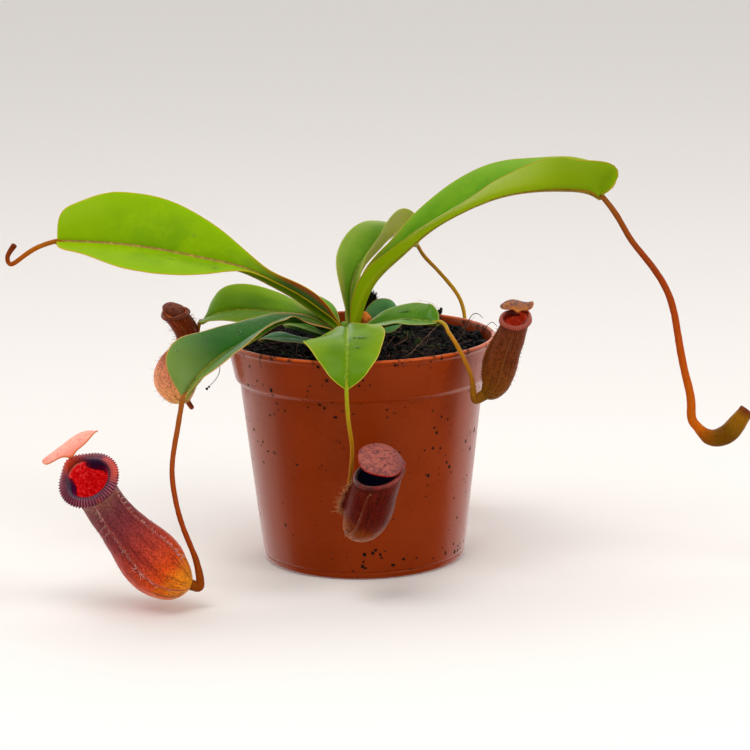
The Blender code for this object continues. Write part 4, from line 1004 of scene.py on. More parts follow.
def bud_shape(axis, radii, front, seed, roughness, slot, rows=70, sides=48):
    """A closed young pitcher: round sections on a bent axis, with lengthwise ribs and a blunt end.

    With slot, the end is a lip round a hollow.
    """
    where = np.linspace(0, 1, rows + 1)
    centre, normal, forward, left = axis_frame(axis, front, where)
    radius = read_stations(radii, where)[0]
    angle = angles(sides)
    spoke = spokes(forward, left, angle)
    rings = centre[:, None] + spoke * radius[:, None, None]
    relief = roughness * noise(rings, 1.3, seed) + 0.05 * np.sin(9 * angle)
    rings = rings + spoke * relief[..., None]
    blunt = np.array([0.98, 0.86, 0.7, 0.5, 0.1]) if slot else np.array([0.8, 0.6, 0.45, 0.25, 0.1])
    swell = np.array([0.35, 0.5, 0.1, -1.0, -1.4]) if slot else np.array([0.5, 0.7, 0.8, 0.87, 0.9])
    end = [rings[-1:].mean(axis=1, keepdims=True) * (1 - wide) + rings[-1:] * wide + normal[-1] * out
           for wide, out in zip(blunt, swell)]
    along = np.concatenate([where * 0.96, [0.96, 0.97, 1, 1, 1]])[:, None]
    return loft(np.concatenate([rings, *end]), {"along": along})


def curled(draw, starts, directions, lengths, places, curl, droop=0.0):
    """Hairs as paths: each leaves its start in its direction and bends aside as it goes."""
    count = len(starts)
    step = np.linspace(0, 1, places)[None, :, None]
    aside = draw.normal(size=(count, 1, 3))
    twice = draw.normal(size=(count, 1, 3))
    reach = np.reshape(lengths, (-1, 1, 1))
    path = starts[:, None] + directions[:, None] * reach * step
    path = path + reach * curl * (aside * step**2 + twice * (np.sin(step * 5) * 0.35))
    path[..., 2] -= (droop * reach * step**2)[..., 0]
    return path


# Materials


# Settings of a node that mixes colours, and of one that eases a range in and out
COLOURS = {"output": 2, "data_type": "RGBA"}
EASED = {"interpolation_type": "SMOOTHSTEP"}


def node_adder(tree):
    """The function that adds shader nodes to this tree.

    Inputs are named, or numbered in order: a Mix node has its share at 0 and its colours at 6 and 7, or its
    numbers at 2 and 3, and a Map Range node has its value at 0, the range that this has at 1 and 2, and the
    range that it gets at 3 and 4.
    """
    def node(kind, inputs=None, output=0, stops=None, **settings):
        """Adds a node with its settings, fills or links its inputs, and returns one of its outputs."""
        added = tree.nodes.new("ShaderNode" + kind)
        for name, value in settings.items():
            setattr(added, name, value)
        for name, value in (inputs or {}).items():
            if isinstance(value, bpy.types.NodeSocket):
                tree.links.new(value, added.inputs[name])
            else:
                added.inputs[name].default_value = value
        if stops:
            points = added.color_ramp.elements
            while len(points) < len(stops):
                points.new(1)
            for i, (point, colour) in enumerate(zip(points, stops)):
                point.position = i / (len(stops) - 1)
                point.color = colour
        return added.outputs[output]

    return node


def start_material(name, read, values):
    """A material with these values on its shader, and what its nodes start from.

    That is the function that adds nodes, the object's coordinates and the piece's own values that read names.
    """
    made = bpy.data.materials.new(name.replace("_", " "))
    made.use_nodes = True
    for socket, value in values.items():
        made.node_tree.nodes["Principled BSDF"].inputs[socket].default_value = value
    node = node_adder(made.node_tree)
    return made, node, node("TexCoord", output="Object"), *(
        node("Attribute", output="Fac", attribute_name=label) for label in read.split())


def finished(made, links):
    """The material, with these outputs linked to its shader's sockets."""
    for socket, value in links.items():
        made.node_tree.links.new(value, made.node_tree.nodes["Principled BSDF"].inputs[socket])
    return made


def per_metre(size):
    """A noise scale whose grain is this many millimetres."""
    return 1 / (size * MM)


def moulded_plastic(look):
    """Polypropylene, injection moulded: glossy, evenly coloured, a little wavy, and specked with soil."""
    made, node, place = start_material("injection moulded polypropylene", "", {
        "IOR": 1.49, "Specular IOR Level": 0.3, "Specular Tint": (1.0, 0.72, 0.5, 1.0)})
    height = node("SeparateXYZ", {0: place}, "Z")
    cloudy = node("TexNoise", {"Vector": place, "Scale": per_metre(22), "Detail": 3})
    body = node("Mix", {0: cloudy, 6: look.shade, 7: look.plastic}, **COLOURS)
    # The thin turned edge lets light through, so it is brighter and more orange than the wall.
    near_rim = node("MapRange", {0: height, 1: (POT_HEIGHT - 1.1) * MM, 2: (POT_HEIGHT - 0.5) * MM}, **EASED)
    body = node("Mix", {0: near_rim, 6: body, 7: look.rim}, **COLOURS)
    # Specks of soil 0.3 to 1 mm across, one to a cell, where a slower noise lets them gather.
    cell = node("TexVoronoi", {"Vector": place, "Scale": per_metre(3.2), "Randomness": 1})
    gather = node("TexNoise", {"Vector": place, "Scale": per_metre(14), "Detail": 2})
    size = node("MapRange", {0: gather, 1: 0.42, 2: 0.7, 3: 0.2, 4: 0.52})
    ragged = node("TexNoise", {"Vector": place, "Scale": per_metre(0.7), "Detail": 2})
    ragged = node("Math", {0: ragged, 1: 0.42, 2: cell}, operation="MULTIPLY_ADD")
    speck = node("Math", {0: ragged, 1: size}, operation="LESS_THAN")
    # A smear of wet soil hangs under the rim and fades down the band.
    under_rim = node("MapRange", {0: height, 1: (POT_HEIGHT - 13) * MM, 2: (POT_HEIGHT - 1.5) * MM})
    smear = node("TexNoise", {"Vector": place, "Scale": per_metre(5), "Detail": 6, "Roughness": 0.7})
    smear = node("Math", {0: smear, 1: under_rim}, operation="MULTIPLY")
    smear = node("MapRange", {0: smear, 1: 0.54, 2: 0.62, 3: 0.0, 4: 0.8}, **EASED)
    dirt = node("Math", {0: speck, 1: smear}, operation="MAXIMUM")
    colour = node("Mix", {0: dirt, 6: body, 7: look.dirt}, **COLOURS)
    rough = node("MapRange", {0: cloudy, 1: 0.3, 2: 0.7, 3: look.gloss, 4: look.gloss + 0.08})
    rough = node("Mix", {0: dirt, 2: rough, 3: 0.85})
    wavy = node("TexNoise", {"Vector": place, "Scale": per_metre(9), "Detail": 1})
    bump = node("Bump", {"Height": wavy, "Distance": 0.25 * MM, "Strength": 0.35})
    bump = node("Bump", {"Height": dirt, "Distance": 0.25 * MM, "Strength": 0.8, "Normal": bump})
    return finished(made, {"Base Color": colour, "Roughness": rough, "Normal": bump})


def potting_mix(look):
    """Peat and coconut fibre, damp: nearly black, matt, with paler crumbs and a green bloom in places."""
    made, node, place, tone = start_material("damp peat and coir", "tone", {
        "IOR": 1.4, "Specular IOR Level": 0.15})
    grain = node("TexNoise", {"Vector": place, "Scale": per_metre(1.1), "Detail": 5, "Roughness": 0.7})
    patch = node("TexNoise", {"Vector": place, "Scale": per_metre(9), "Detail": 2})
    both = node("Math", {0: grain, 1: tone}, operation="ADD")
    share = node("MapRange", {0: both, 1: 0.4, 2: 1.15}, **EASED)
    colour = node("Mix", {0: share, 6: look.dark, 7: look.light}, **COLOURS)
    bloom = node("MapRange", {0: patch, 1: 0.58, 2: 0.7, 3: 0.0, 4: 0.5}, **EASED)
    colour = node("Mix", {0: bloom, 6: colour, 7: look.bloom}, **COLOURS)
    rough = node("MapRange", {0: grain, 1: 0.3, 2: 0.7, 3: 0.95, 4: 0.7})
    bump = node("Bump", {"Height": grain, "Distance": 0.6 * MM, "Strength": 0.9})
    return finished(made, {"Base Color": colour, "Roughness": rough, "Normal": bump})


def dry_fibre(name, root, tip, roughness):
    """Fine fibre or hair, dry or live: dull, another colour at its tip, and each strand its own shade."""
    made, node, place, along, tone = start_material(name, "along tone", {
        "IOR": 1.45, "Specular IOR Level": 0.15, "Roughness": roughness})
    colour = node("Mix", {0: along, 6: root, 7: tip}, **COLOURS)
    value = node("MapRange", {0: tone, 3: 0.35, 4: 1.25})
    colour = node("HueSaturation", {"Color": colour, "Value": value})
    grain = node("TexNoise", {"Vector": place, "Scale": per_metre(0.4), "Detail": 2})
    bump = node("Bump", {"Height": grain, "Distance": 0.05 * MM, "Strength": 0.5})
    return finished(made, {"Base Color": colour, "Normal": bump})


def leaf_skin(name, colours, roughness, shine):
    """A leaf's waxy skin, mottled and finely veined, with its own colours at rib, margin and underside. The
    tip colour of leaf_front_left is a painted sheen, and the underside of leaf_right is brightened as painted
    light through the blade.
    """
    full, deep, outer, tip, rib, margin, stalk, stalk_edge, underside_and_backlight = palette(colours)
    made, node, place, share, rib_mm, edge_mm, run_mm, along, under = start_material(
        "waxy leaf, " + name, "share rib_mm edge_mm run_mm along under", {
            "IOR": 1.42, "Specular IOR Level": shine, "Subsurface Weight": 0.3,
            "Subsurface Radius": (0.8, 1.0, 0.1), "Subsurface Scale": 1.2 * MM})
    slow = node("TexNoise", {"Vector": place, "Scale": per_metre(11), "Detail": 4, "Roughness": 0.6})
    fine = node("TexNoise", {"Vector": place, "Scale": per_metre(1.6), "Detail": 3})
    mottle = node("MapRange", {0: slow, 1: 0.3, 2: 0.7}, **EASED)
    colour = node("Mix", {0: mottle, 6: deep, 7: full}, **COLOURS)
    outwards = node("MapRange", {0: share, 1: 0.35, 2: 1.0, 3: 0.0, 4: 0.8}, **EASED)
    colour = node("Mix", {0: outwards, 6: colour, 7: outer}, **COLOURS)
    stalk_edge_share = node("MapRange", {0: share, 1: 0.4, 2: 0.9}, **EASED)
    stalk_colour = node("Mix", {0: stalk_edge_share, 6: stalk, 7: stalk_edge}, **COLOURS)
    in_stalk = node("MapRange", {0: along, 1: 0.2, 2: 0.42, 3: 1.0, 4: 0.0}, **EASED)
    colour = node("Mix", {0: in_stalk, 6: colour, 7: stalk_colour}, **COLOURS)
    # Cross veins 2.4 mm apart slant out from the rib, and three long veins run beside it.
    shaken = node("Math", {0: slow, 1: 5.0, 2: run_mm}, operation="MULTIPLY_ADD")
    cross = node("Math", {0: shaken, 1: 1.2}, operation="PINGPONG")
    cross = node("MapRange", {0: cross, 1: 0.0, 2: 0.5, 3: 1.0, 4: 0.0}, **EASED)
    long = node("Math", {0: share, 1: 0.145}, operation="PINGPONG")
    long = node("MapRange", {0: long, 1: 0.0, 2: 0.02, 3: 1.0, 4: 0.0}, **EASED)
    vein = node("Math", {0: cross, 1: long}, operation="MAXIMUM")
    value = node("MapRange", {0: vein, 3: 1.0, 4: 0.975})
    value = node("Math", {0: fine, 1: 0.16, 2: value}, operation="MULTIPLY_ADD")
    value = node("Math", {0: value, 1: 0.08}, operation="SUBTRACT")
    colour = node("HueSaturation", {"Color": colour, "Value": value})
    # The underside takes its own colour, and on leaf_right one brightened as painted light through the blade.
    colour = node("Mix", {0: under, 6: colour, 7: underside_and_backlight}, **COLOURS)
    # Towards the tip the colour turns to the leaf's own tip tone, and on leaf_front_left to a painted sheen.
    tip_tone_and_sheen = node("MapRange", {0: along, 1: 0.68, 2: 0.96, 3: 0.0, 4: 0.85}, **EASED)
    colour = node("Mix", {0: tip_tone_and_sheen, 6: colour, 7: tip}, **COLOURS)
    # Small brown specks, few and scattered.
    cell = node("TexVoronoi", {"Vector": place, "Scale": per_metre(4.5)})
    chosen = node("MapRange", {0: slow, 1: 0.5, 2: 0.7, 3: 0.0, 4: 0.075})
    speck = node("Math", {0: cell, 1: chosen}, operation="LESS_THAN")
    speck = node("Math", {0: speck, 1: 0.55}, operation="MULTIPLY")
    colour = node("Mix", {0: speck, 6: colour, 7: linear("#5A4A1C")}, **COLOURS)
    near_rib = node("MapRange", {0: rib_mm, 1: 0.3, 2: 0.85, 3: 0.85, 4: 0.0}, **EASED)
    grown_rib = node("MapRange", {0: along, 1: 0.1, 2: 0.4, 3: 0.15, 4: 1.0})
    near_rib = node("Math", {0: near_rib, 1: grown_rib}, operation="MULTIPLY")
    # Pale corky specks break up the rib.
    cork = node("MapRange", {0: fine, 1: 0.45, 2: 0.68, 3: 0.85, 4: 1.5})
    rib_colour = node("HueSaturation", {"Color": rib, "Value": cork})
    colour = node("Mix", {0: near_rib, 6: colour, 7: rib_colour}, **COLOURS)
    near_edge = node("MapRange", {0: edge_mm, 1: 0.25, 2: 0.6, 3: 0.9, 4: 0.0}, **EASED)
    colour = node("Mix", {0: near_edge, 6: colour, 7: margin}, **COLOURS)
    rough = node("MapRange", {0: fine, 1: 0.3, 2: 0.7, 3: roughness - 0.05, 4: roughness + 0.08})
    relief = node("Math", {0: vein, 1: -0.6, 2: fine}, operation="MULTIPLY_ADD")
    bump = node("Bump", {"Height": relief, "Distance": 0.1 * MM, "Strength": 0.35})
    return finished(made, {"Base Color": colour, "Roughness": rough, "Normal": bump})


def wiry_skin(name, colours, roughness=0.42):
    """A stem's, a tendril's or a bud's skin: smooth, faintly waxy and grained, changing colour along it."""
    made, node, place, along = start_material("waxy skin, " + name, "along", {
        "IOR": 1.42, "Specular IOR Level": 0.08, "Specular Tint": (1.0, 0.8, 0.5, 1.0),
        "Subsurface Weight": 0.06, "Subsurface Radius": (0.8, 0.4, 0.2), "Subsurface Scale": 0.8 * MM})
    patch = node("TexNoise", {"Vector": place, "Scale": per_metre(5), "Detail": 3})
    moved = node("Math", {0: patch, 1: 0.16, 2: along}, operation="MULTIPLY_ADD")
    moved = node("Math", {0: moved, 1: 0.08}, operation="SUBTRACT")
    colour = node("ValToRGB", {0: moved}, stops=palette(colours))
    fine = node("TexNoise", {"Vector": place, "Scale": per_metre(0.7), "Detail": 3})
    value = node("MapRange", {0: fine, 1: 0.3, 2: 0.7, 3: 0.82, 4: 1.12})
    colour = node("HueSaturation", {"Color": colour, "Value": value})
    rough = node("MapRange", {0: patch, 1: 0.3, 2: 0.7, 3: roughness - 0.06, 4: roughness + 0.1})
    bump = node("Bump", {"Height": fine, "Distance": 0.06 * MM, "Strength": 0.5})
    return finished(made, {"Base Color": colour, "Roughness": rough, "Normal": bump})


def pitcher_skin(name, colours):
    """A pitcher's thin wall, satin: changing colour up the cup, streaked along it, with a glowing lining."""
    *steps, streak, wing_tone_and_highlight, lining = palette(colours)
    made, node, place, along, ring_x, ring_y, inside, wing = start_material(
        "satin pitcher wall, " + name, "along ring_x ring_y inside wing", {
            "IOR": 1.42, "Specular IOR Level": 0.1, "Specular Tint": (1.0, 0.62, 0.45, 1.0),
            "Subsurface Weight": 0.1, "Subsurface Radius": (1.0, 0.35, 0.2), "Subsurface Scale": 1.2 * MM,
            "Emission Strength": 0.4, "Sheen Weight": 0.14, "Sheen Roughness": 0.3,
            "Sheen Tint": (1.0, 0.3, 0.08, 1.0)})
    patch = node("TexNoise", {"Vector": place, "Scale": per_metre(7), "Detail": 4, "Roughness": 0.6})
    moved = node("Math", {0: patch, 1: 0.2, 2: along}, operation="MULTIPLY_ADD")
    moved = node("Math", {0: moved, 1: 0.1}, operation="SUBTRACT")
    colour = node("ValToRGB", {0: moved}, stops=steps)
    # Streaks run up the wall: the noise is stretched along it and fine round it.
    slow_rise = node("Math", {0: along, 1: 0.5}, operation="MULTIPLY")
    grain = node("CombineXYZ", {0: ring_x, 1: ring_y, 2: slow_rise})
    streaks = node("TexNoise", {"Vector": grain, "Scale": 7, "Detail": 5, "Roughness": 0.65})
    streaks = node("MapRange", {0: streaks, 1: 0.48, 2: 0.66, 3: 0.0, 4: 0.6}, **EASED)
    colour = node("Mix", {0: streaks, 6: colour, 7: streak}, **COLOURS)
    speckle = node("TexNoise", {"Vector": place, "Scale": per_metre(0.8), "Detail": 4})
    value = node("MapRange", {0: speckle, 1: 0.32, 2: 0.68, 3: 0.6, 4: 1.35})
    colour = node("HueSaturation", {"Color": colour, "Value": value})
    # The wings take a colour near the body's but paler: partly their own tone, partly a painted highlight on
    # the ridges.
    on_wing = node("MapRange", {0: wing, 1: 0.35, 2: 0.95, 3: 0.0, 4: 0.65})
    colour = node("Mix", {0: on_wing, 6: colour, 7: wing_tone_and_highlight}, **COLOURS)
    # The lining has its own colour, finely blotched.
    blotch = node("TexNoise", {"Vector": place, "Scale": per_metre(1.2), "Detail": 4, "Roughness": 0.7})
    value = node("MapRange", {0: blotch, 1: 0.34, 2: 0.66, 3: 0.62, 4: 1.15})
    pale = node("MapRange", {0: blotch, 1: 0.5, 2: 0.7, 3: 1.0, 4: 0.92})
    within = node("HueSaturation", {"Color": lining, "Value": value, "Saturation": pale})
    colour = node("Mix", {0: inside, 6: colour, 7: within}, **COLOURS)
    # Daylight that comes through the thin wall makes the lining glow.
    glow = node("Mix", {0: inside, 6: (0, 0, 0, 1), 7: within}, **COLOURS)
    rough = node("MapRange", {0: patch, 1: 0.3, 2: 0.7, 3: 0.36, 4: 0.5})
    bump = node("Bump", {"Height": speckle, "Distance": 0.12 * MM, "Strength": 0.5})
    bump = node("Bump", {"Height": streaks, "Distance": 0.15 * MM, "Strength": 0.5, "Normal": bump})
    return finished(made, {"Base Color": colour, "Emission Color": glow, "Roughness": rough, "Normal": bump})


def glazed_lip(name, colours):
    """A pitcher's rolled lip: hard and glossy, finely ribbed, dark towards the cup and on the teeth."""
    inner, outer, crest_tone_and_highlight, patch_colour = palette(colours)
    made, node, place, across, crest, hinge = start_material(
        "glossy ribbed lip, " + name, "across crest hinge", {
            "IOR": 1.45, "Specular IOR Level": 0.4, "Coat Weight": 0.12, "Coat Roughness": 0.15})
    side = node("MapRange", {0: across, 1: -0.5, 2: 0.5}, **EASED)
    colour = node("Mix", {0: side, 6: inner, 7: outer}, **COLOURS)
    slow = node("TexNoise", {"Vector": place, "Scale": per_metre(9), "Detail": 2})
    patch = node("MapRange", {0: slow, 1: 0.5, 2: 0.68}, **EASED)
    patch = node("Math", {0: patch, 1: side}, operation="MULTIPLY")
    patch = node("Math", {0: patch, 1: hinge}, operation="MAXIMUM")
    colour = node("Mix", {0: patch, 6: colour, 7: patch_colour}, **COLOURS)
    # The raised crests turn paler: partly their own tone, partly a painted highlight on the glossy ribs.
    raised = node("Math", {0: crest, 1: 2.2}, operation="POWER")
    raised = node("Math", {0: raised, 1: side}, operation="MULTIPLY")
    raised = node("Math", {0: raised, 1: 0.75}, operation="MULTIPLY")
    colour = node("Mix", {0: raised, 6: colour, 7: crest_tone_and_highlight}, **COLOURS)
    teeth = node("MapRange", {0: across, 1: 0.9, 2: 1.0, 3: 0.0, 4: 0.8})
    colour = node("Mix", {0: teeth, 6: colour, 7: linear("#2E0E0C")}, **COLOURS)
    fine = node("TexNoise", {"Vector": place, "Scale": per_metre(0.6), "Detail": 3})
    rough = node("MapRange", {0: fine, 1: 0.3, 2: 0.7, 3: 0.2, 4: 0.36})
    bump = node("Bump", {"Height": fine, "Distance": 0.05 * MM, "Strength": 0.4})
    return finished(made, {"Base Color": colour, "Roughness": rough, "Normal": bump})


def lid_skin(name, colours):
    """A pitcher's lid: matt, spotted above and more faintly below, with painted shade in the fold at the
    hinge and a thin edge in its own colour.
    """
    under_colour, upper_colour, spot_colour, edge_colour = palette(colours)
    made, node, place, share, under, hinge = start_material("matt lid, " + name, "share under hinge", {
        "IOR": 1.42, "Specular IOR Level": 0.14, "Subsurface Weight": 0.15,
        "Subsurface Radius": (1.0, 0.5, 0.3), "Subsurface Scale": 1.0 * MM})
    patch = node("TexNoise", {"Vector": place, "Scale": per_metre(1.3), "Detail": 5, "Roughness": 0.7})
    spots = node("MapRange", {0: patch, 1: 0.42, 2: 0.64, 3: 0.0, 4: 0.85}, **EASED)
    # Painted shade: the fold at the hinge is darkened to the spots' colour all over.
    painted_hinge_shade = node("Math", {0: hinge, 1: 0.8}, operation="MULTIPLY")
    spots = node("Math", {0: spots, 1: painted_hinge_shade}, operation="MAXIMUM")
    below_spots = node("Math", {0: spots, 1: 0.35}, operation="MULTIPLY")
    above = node("Mix", {0: spots, 6: upper_colour, 7: spot_colour}, **COLOURS)
    below = node("Mix", {0: below_spots, 6: under_colour, 7: spot_colour}, **COLOURS)
    colour = node("Mix", {0: under, 6: above, 7: below}, **COLOURS)
    edge = node("MapRange", {0: share, 1: 0.95, 2: 0.99, 3: 0.0, 4: 0.85})
    colour = node("Mix", {0: edge, 6: colour, 7: edge_colour}, **COLOURS)
    rough = node("MapRange", {0: patch, 1: 0.3, 2: 0.7, 3: 0.45, 4: 0.6})
    bump = node("Bump", {"Height": patch, "Distance": 0.15 * MM, "Strength": 0.5})
    return finished(made, {"Base Color": colour, "Roughness": rough, "Normal": bump})


def standing_water(look):
    """Drops of clear water: they lie domed on the wax and catch the light as points."""
    made, node, place = start_material("clear water drops", "", {
        "IOR": 1.333, "Transmission Weight": 1.0, "Roughness": 0.02, "Base Color": look})
    ripple = node("TexNoise", {"Vector": place, "Scale": per_metre(1.5), "Detail": 1})
    bump = node("Bump", {"Height": ripple, "Distance": 0.02 * MM, "Strength": 0.2})
    return finished(made, {"Normal": bump})


def seamless_paper(look):
    """A studio's seamless paper, matt: it keeps its own pale tone and only the plant's soft shadow."""
    made, node, place = start_material("matt studio paper", "", {"Specular IOR Level": 0.1, "Roughness": 0.9})
    fibre = node("TexNoise", {"Vector": place, "Scale": per_metre(2), "Detail": 4})
    shade = node("MapRange", {0: fibre, 3: 0.995, 4: 1.0})
    colour = node("HueSaturation", {"Color": look, "Value": shade})
    return finished(made, {"Base Color": colour})


# Settings


def a_colour(label, what, code):
    """A colour that a user may change."""
    return bpy.props.FloatVectorProperty(
        name=label, description=what, default=linear(code), size=4, min=0, max=1, subtype="COLOR")


def a_number(label, what, value, least=0, **more):
    """A number that a user may change."""
    return bpy.props.FloatProperty(name=label, description=what, default=value, min=least, **more)


def a_length(label, what, size):
    """A length that a user may change, given here in millimetres."""
    return a_number(label, what, size * MM, precision=5, unit="LENGTH")


def a_share(label, what, value):
    """A share from 0 to 1 that a user may change."""
    return a_number(label, what, value, max=1, subtype="FACTOR")


def a_count(label, what, value):
    """A number of things that a user may change."""
    return bpy.props.IntProperty(name=label, description=what, default=value, min=3)


class PotSettings(bpy.types.PropertyGroup):
    plastic: a_colour("Plastic", "Colour of the pot's wall", "#9C3604")
    shade: a_colour("Shade", "Colour of the wall's deeper clouds", "#862C03")
    rim: a_colour("Rim", "Colour of the turned rim", "#CC5418")
    dirt: a_colour("Dirt", "Colour of the soil on the wall", "#1A0E08")
    gloss: a_share("Roughness", "Roughness of the clean plastic", 0.25)
    sides: a_count("Sides", "Faces round the pot", 192)


class SoilSettings(bpy.types.PropertyGroup):
    dark: a_colour("Dark", "Colour of the damp hollows", "#050509")
    light: a_colour("Light", "Colour of the drier crumbs", "#131014")
    bloom: a_colour("Bloom", "Colour of the green bloom", "#161D14")
    fibre: a_colour("Fibre", "Colour of the coconut fibres", "#946E5C")
    moss: a_colour("Moss", "Colour of the bits of moss", "#4A6A2A")
    crumbs: a_count("Crumbs", "How many loose crumbs lie on it", 1500)
    fibres: a_count("Fibres", "How many loose fibres lie on it", 560)
    crumb: a_length("Crumb", "Half width of a middling crumb", 0.75)


class MossSettings(bpy.types.PropertyGroup):
    core: a_colour("Core", "Colour of the tuft's inside", "#14110E")
    tip: a_colour("Tips", "Colour of the hairs' ends", "#4A3E34")
    hairs: a_count("Hairs", "How many hairs stand on the tuft", 900)
    length: a_length("Length", "Length of a hair", 4.2)


class LeafSettings(bpy.types.PropertyGroup):
    blade: a_length("Blade", "Thickness of the blade", 0.55)
    rib: a_length("Rib", "How far the rib stands out below", 1.5)
    water: a_colour("Water", "Tint of the drops", "#F4FAF0")


class TendrilSettings(bpy.types.PropertyGroup):
    roughness: a_share("Roughness", "Roughness of the skin", 0.42)


class PitcherSettings(bpy.types.PropertyGroup):
    wing: a_length("Wing", "How far a wing stands out", 1.5)


class HairSettings(bpy.types.PropertyGroup):
    dark: a_colour("Dark", "Colour of the short hairs", "#4A2418")
    light: a_colour("Light", "Colour of the short hairs' ends", "#A0583A")
    width: a_length("Width", "Half width of a fringe hair at its root", 0.14)


class StageSettings(bpy.types.PropertyGroup):
    paper: a_colour("Paper", "Colour of the floor", "#F4F1EE")
    radius: a_number("Radius", "Radius of the floor", 9.0, least=1, unit="LENGTH")
    key: a_number("Key light", "Power of the light from above", 10.5, unit="POWER")
    fill: a_number("Fill light", "Power of the light from the front right", 9.3, unit="POWER")
    backdrop: a_number("Backdrop", "Brightness of the backdrop", 1.38)


# Operators


def stand(name, data, axes, place):
    """Puts a light or a camera in the scene at a place, its own x, y and z along these axes."""
    thing = bpy.data.objects.new(name, data)
    matrix = np.eye(4)
    matrix[:3] = np.column_stack([*axes, place])
    thing.matrix_world = matrix.T
    bpy.context.scene.collection.objects.link(thing)
    return thing


class PLANT_OT_pot(bpy.types.Operator):
    """Turns the pot's rounded section and drills its drainage holes"""
    bl_idname = "plant.pot"
    bl_label = "Pot"

    def execute(self, context):
        look = context.scene.plant_pot
        turn = 2 * math.pi * (np.arange(HOLE_COUNT) + 0.5) / HOLE_COUNT
        circle = angles(DRILL_SIDES)
        drills = [loft(np.array([turned_rings(HOLE_RADIUS, z, circle, centre) for z in DRILL_REACH]))
                  for centre in HOLE_RING * on_circle(turn)]
        cutter = bpy.data.objects.new("drills", build_mesh("drills", joined(*drills)))
        turned = bpy.data.objects.new("turned", build_mesh("turned", pot_shape(look.sides)))
        for each in (cutter, turned):
            context.scene.collection.objects.link(each)
        cut = turned.modifiers.new("drainage", "BOOLEAN")
        cut.operation = "DIFFERENCE"
        cut.solver = "EXACT"
        cut.object = cutter
        drilled = bpy.data.meshes.new_from_object(turned.evaluated_get(context.evaluated_depsgraph_get()))
        if len(drilled.vertices) <= len(turned.data.vertices) + DRILL_SIDES * HOLE_COUNT:
            raise RuntimeError("the drainage holes weren't cut")
        for each in (cutter, turned):
            bpy.data.objects.remove(each)
        drilled.set_sharp_from_angle(angle=math.radians(50))
        add_piece("pot_shell", drilled, moulded_plastic(look), "pot", "pot")
        return {"FINISHED"}


class PLANT_OT_soil(bpy.types.Operator):
    """Lays the potting mix, its loose crumbs, fibres and bits of moss"""
    bl_idname = "plant.soil"
    bl_label = "Soil"

    def execute(self, context):
        look = context.scene.plant_soil
        mix = potting_mix(look)
        add_piece("soil_top", soil_shape(300, 130), mix, "soil", "soil")
        draw = np.random.default_rng(21)
        edge = inner_radius(SOIL_LEVEL) - 1.2

        def scattered(count):
            """Places at random on the soil, out to near the wall."""
            radius = edge * np.sqrt(draw.uniform(0.004, 1, count))
            turn = draw.uniform(0, 2 * math.pi, count)
            x, y = radius * np.cos(turn), radius * np.sin(turn)
            return np.column_stack([x, y, soil_height(x, y)])

        # Crumbs of peat lie on the mix, a few bigger than the rest.
        count = look.crumbs
        size = look.crumb / MM * np.exp(draw.normal(0, 0.45, count))
        size = np.clip(size, 0.25, 1.9)
        centres = scattered(count) + np.array([0, 0, 0.15])
        centres[:, 2] += size * 0.15
        keep = np.hypot(centres[:, 0], centres[:, 1]) + size * 1.3 < edge + 0.8
        tone = draw.uniform(-0.25, 0.6, count) ** 3 * 2
        crumbs = lumps(centres[keep], size[keep], 22, {"tone": tone[keep]}, squash=0.75)
        add_piece("soil_crumbs", crumbs, mix, "soil")
        # Coconut fibres lie over it, kept within the wall and above the soil.
        count = look.fibres
        starts = scattered(count) * (0.93, 0.93, 1) + np.array([0, 0, 0.4])
        turn = draw.uniform(0, 2 * math.pi, count)
        rise = draw.uniform(-0.02, 0.3, count)
        ahead = unit(np.column_stack([np.cos(turn), np.sin(turn), rise]))
        length = draw.uniform(2.5, 12.0, count)
        paths = curled(draw, starts, ahead, length, 9, 0.3)
        reach = np.hypot(paths[..., 0], paths[..., 1])
        paths[..., :2] *= np.minimum(1, (edge - 0.3) / reach)[..., None]
        paths[..., 2] = np.maximum(paths[..., 2], soil_height(paths[..., 0], paths[..., 1]) + 0.05)
        width = np.linspace(1, 0.45, 9) * draw.uniform(0.07, 0.17, (count, 1))
        fibres = strands(paths, width, draw.uniform(0, 1, (count, 1)) ** 1.5)
        add_piece("soil_fibres", fibres, dry_fibre("coconut fibre", look.dark, look.fibre, 0.7), "soil")
        # Bits of live moss gather at a few spots.
        count = MOSS_BITS
        spots = np.array([(17, 20), (22, 14), (-30, -20), (28, -6), (8, 32), (-12, -30)])
        middle = spots[draw.integers(0, len(spots), count)] + draw.normal(0, 2.6, (count, 2))
        centres = np.column_stack([middle, soil_height(*middle.T) + 0.6])
        size = draw.uniform(0.3, 0.75, count)
        green = lumps(centres, size, 23, {"tone": draw.uniform(0.2, 1, count),
                                          "along": draw.uniform(0.3, 1, count)})
        add_piece("soil_moss", green, dry_fibre("live moss", linear("#1C2A10"), look.moss, 0.8), "moss")
        # A few dead roots hang over the rim, and clods hang on two of them.
        step = np.linspace(0, 1, 40)
        paths = np.array([route(points, step)[0] for points, _ in LOOSE_ROOTS])
        width = np.array([[half] for _, half in LOOSE_ROOTS]) * (1 - 0.4 * step)
        roots = strands(paths, width, 0.5, along=0.1)
        places = np.array([(-62.2, -20, 74.7), (-61.2, -20, 75.4), (33.4, 42.6, 92.9), (34.1, 42.9, 94.1)])
        clods = lumps(places, np.array([0.7, 0.5, 1.2, 0.8]), 24, {"along": 0.0, "tone": 0.5})
        dead = dry_fibre("dead root", linear("#16100C"), look.fibre, 0.8)
        add_piece("loose_roots", joined(roots, clods), dead, "soil")
        return {"FINISHED"}


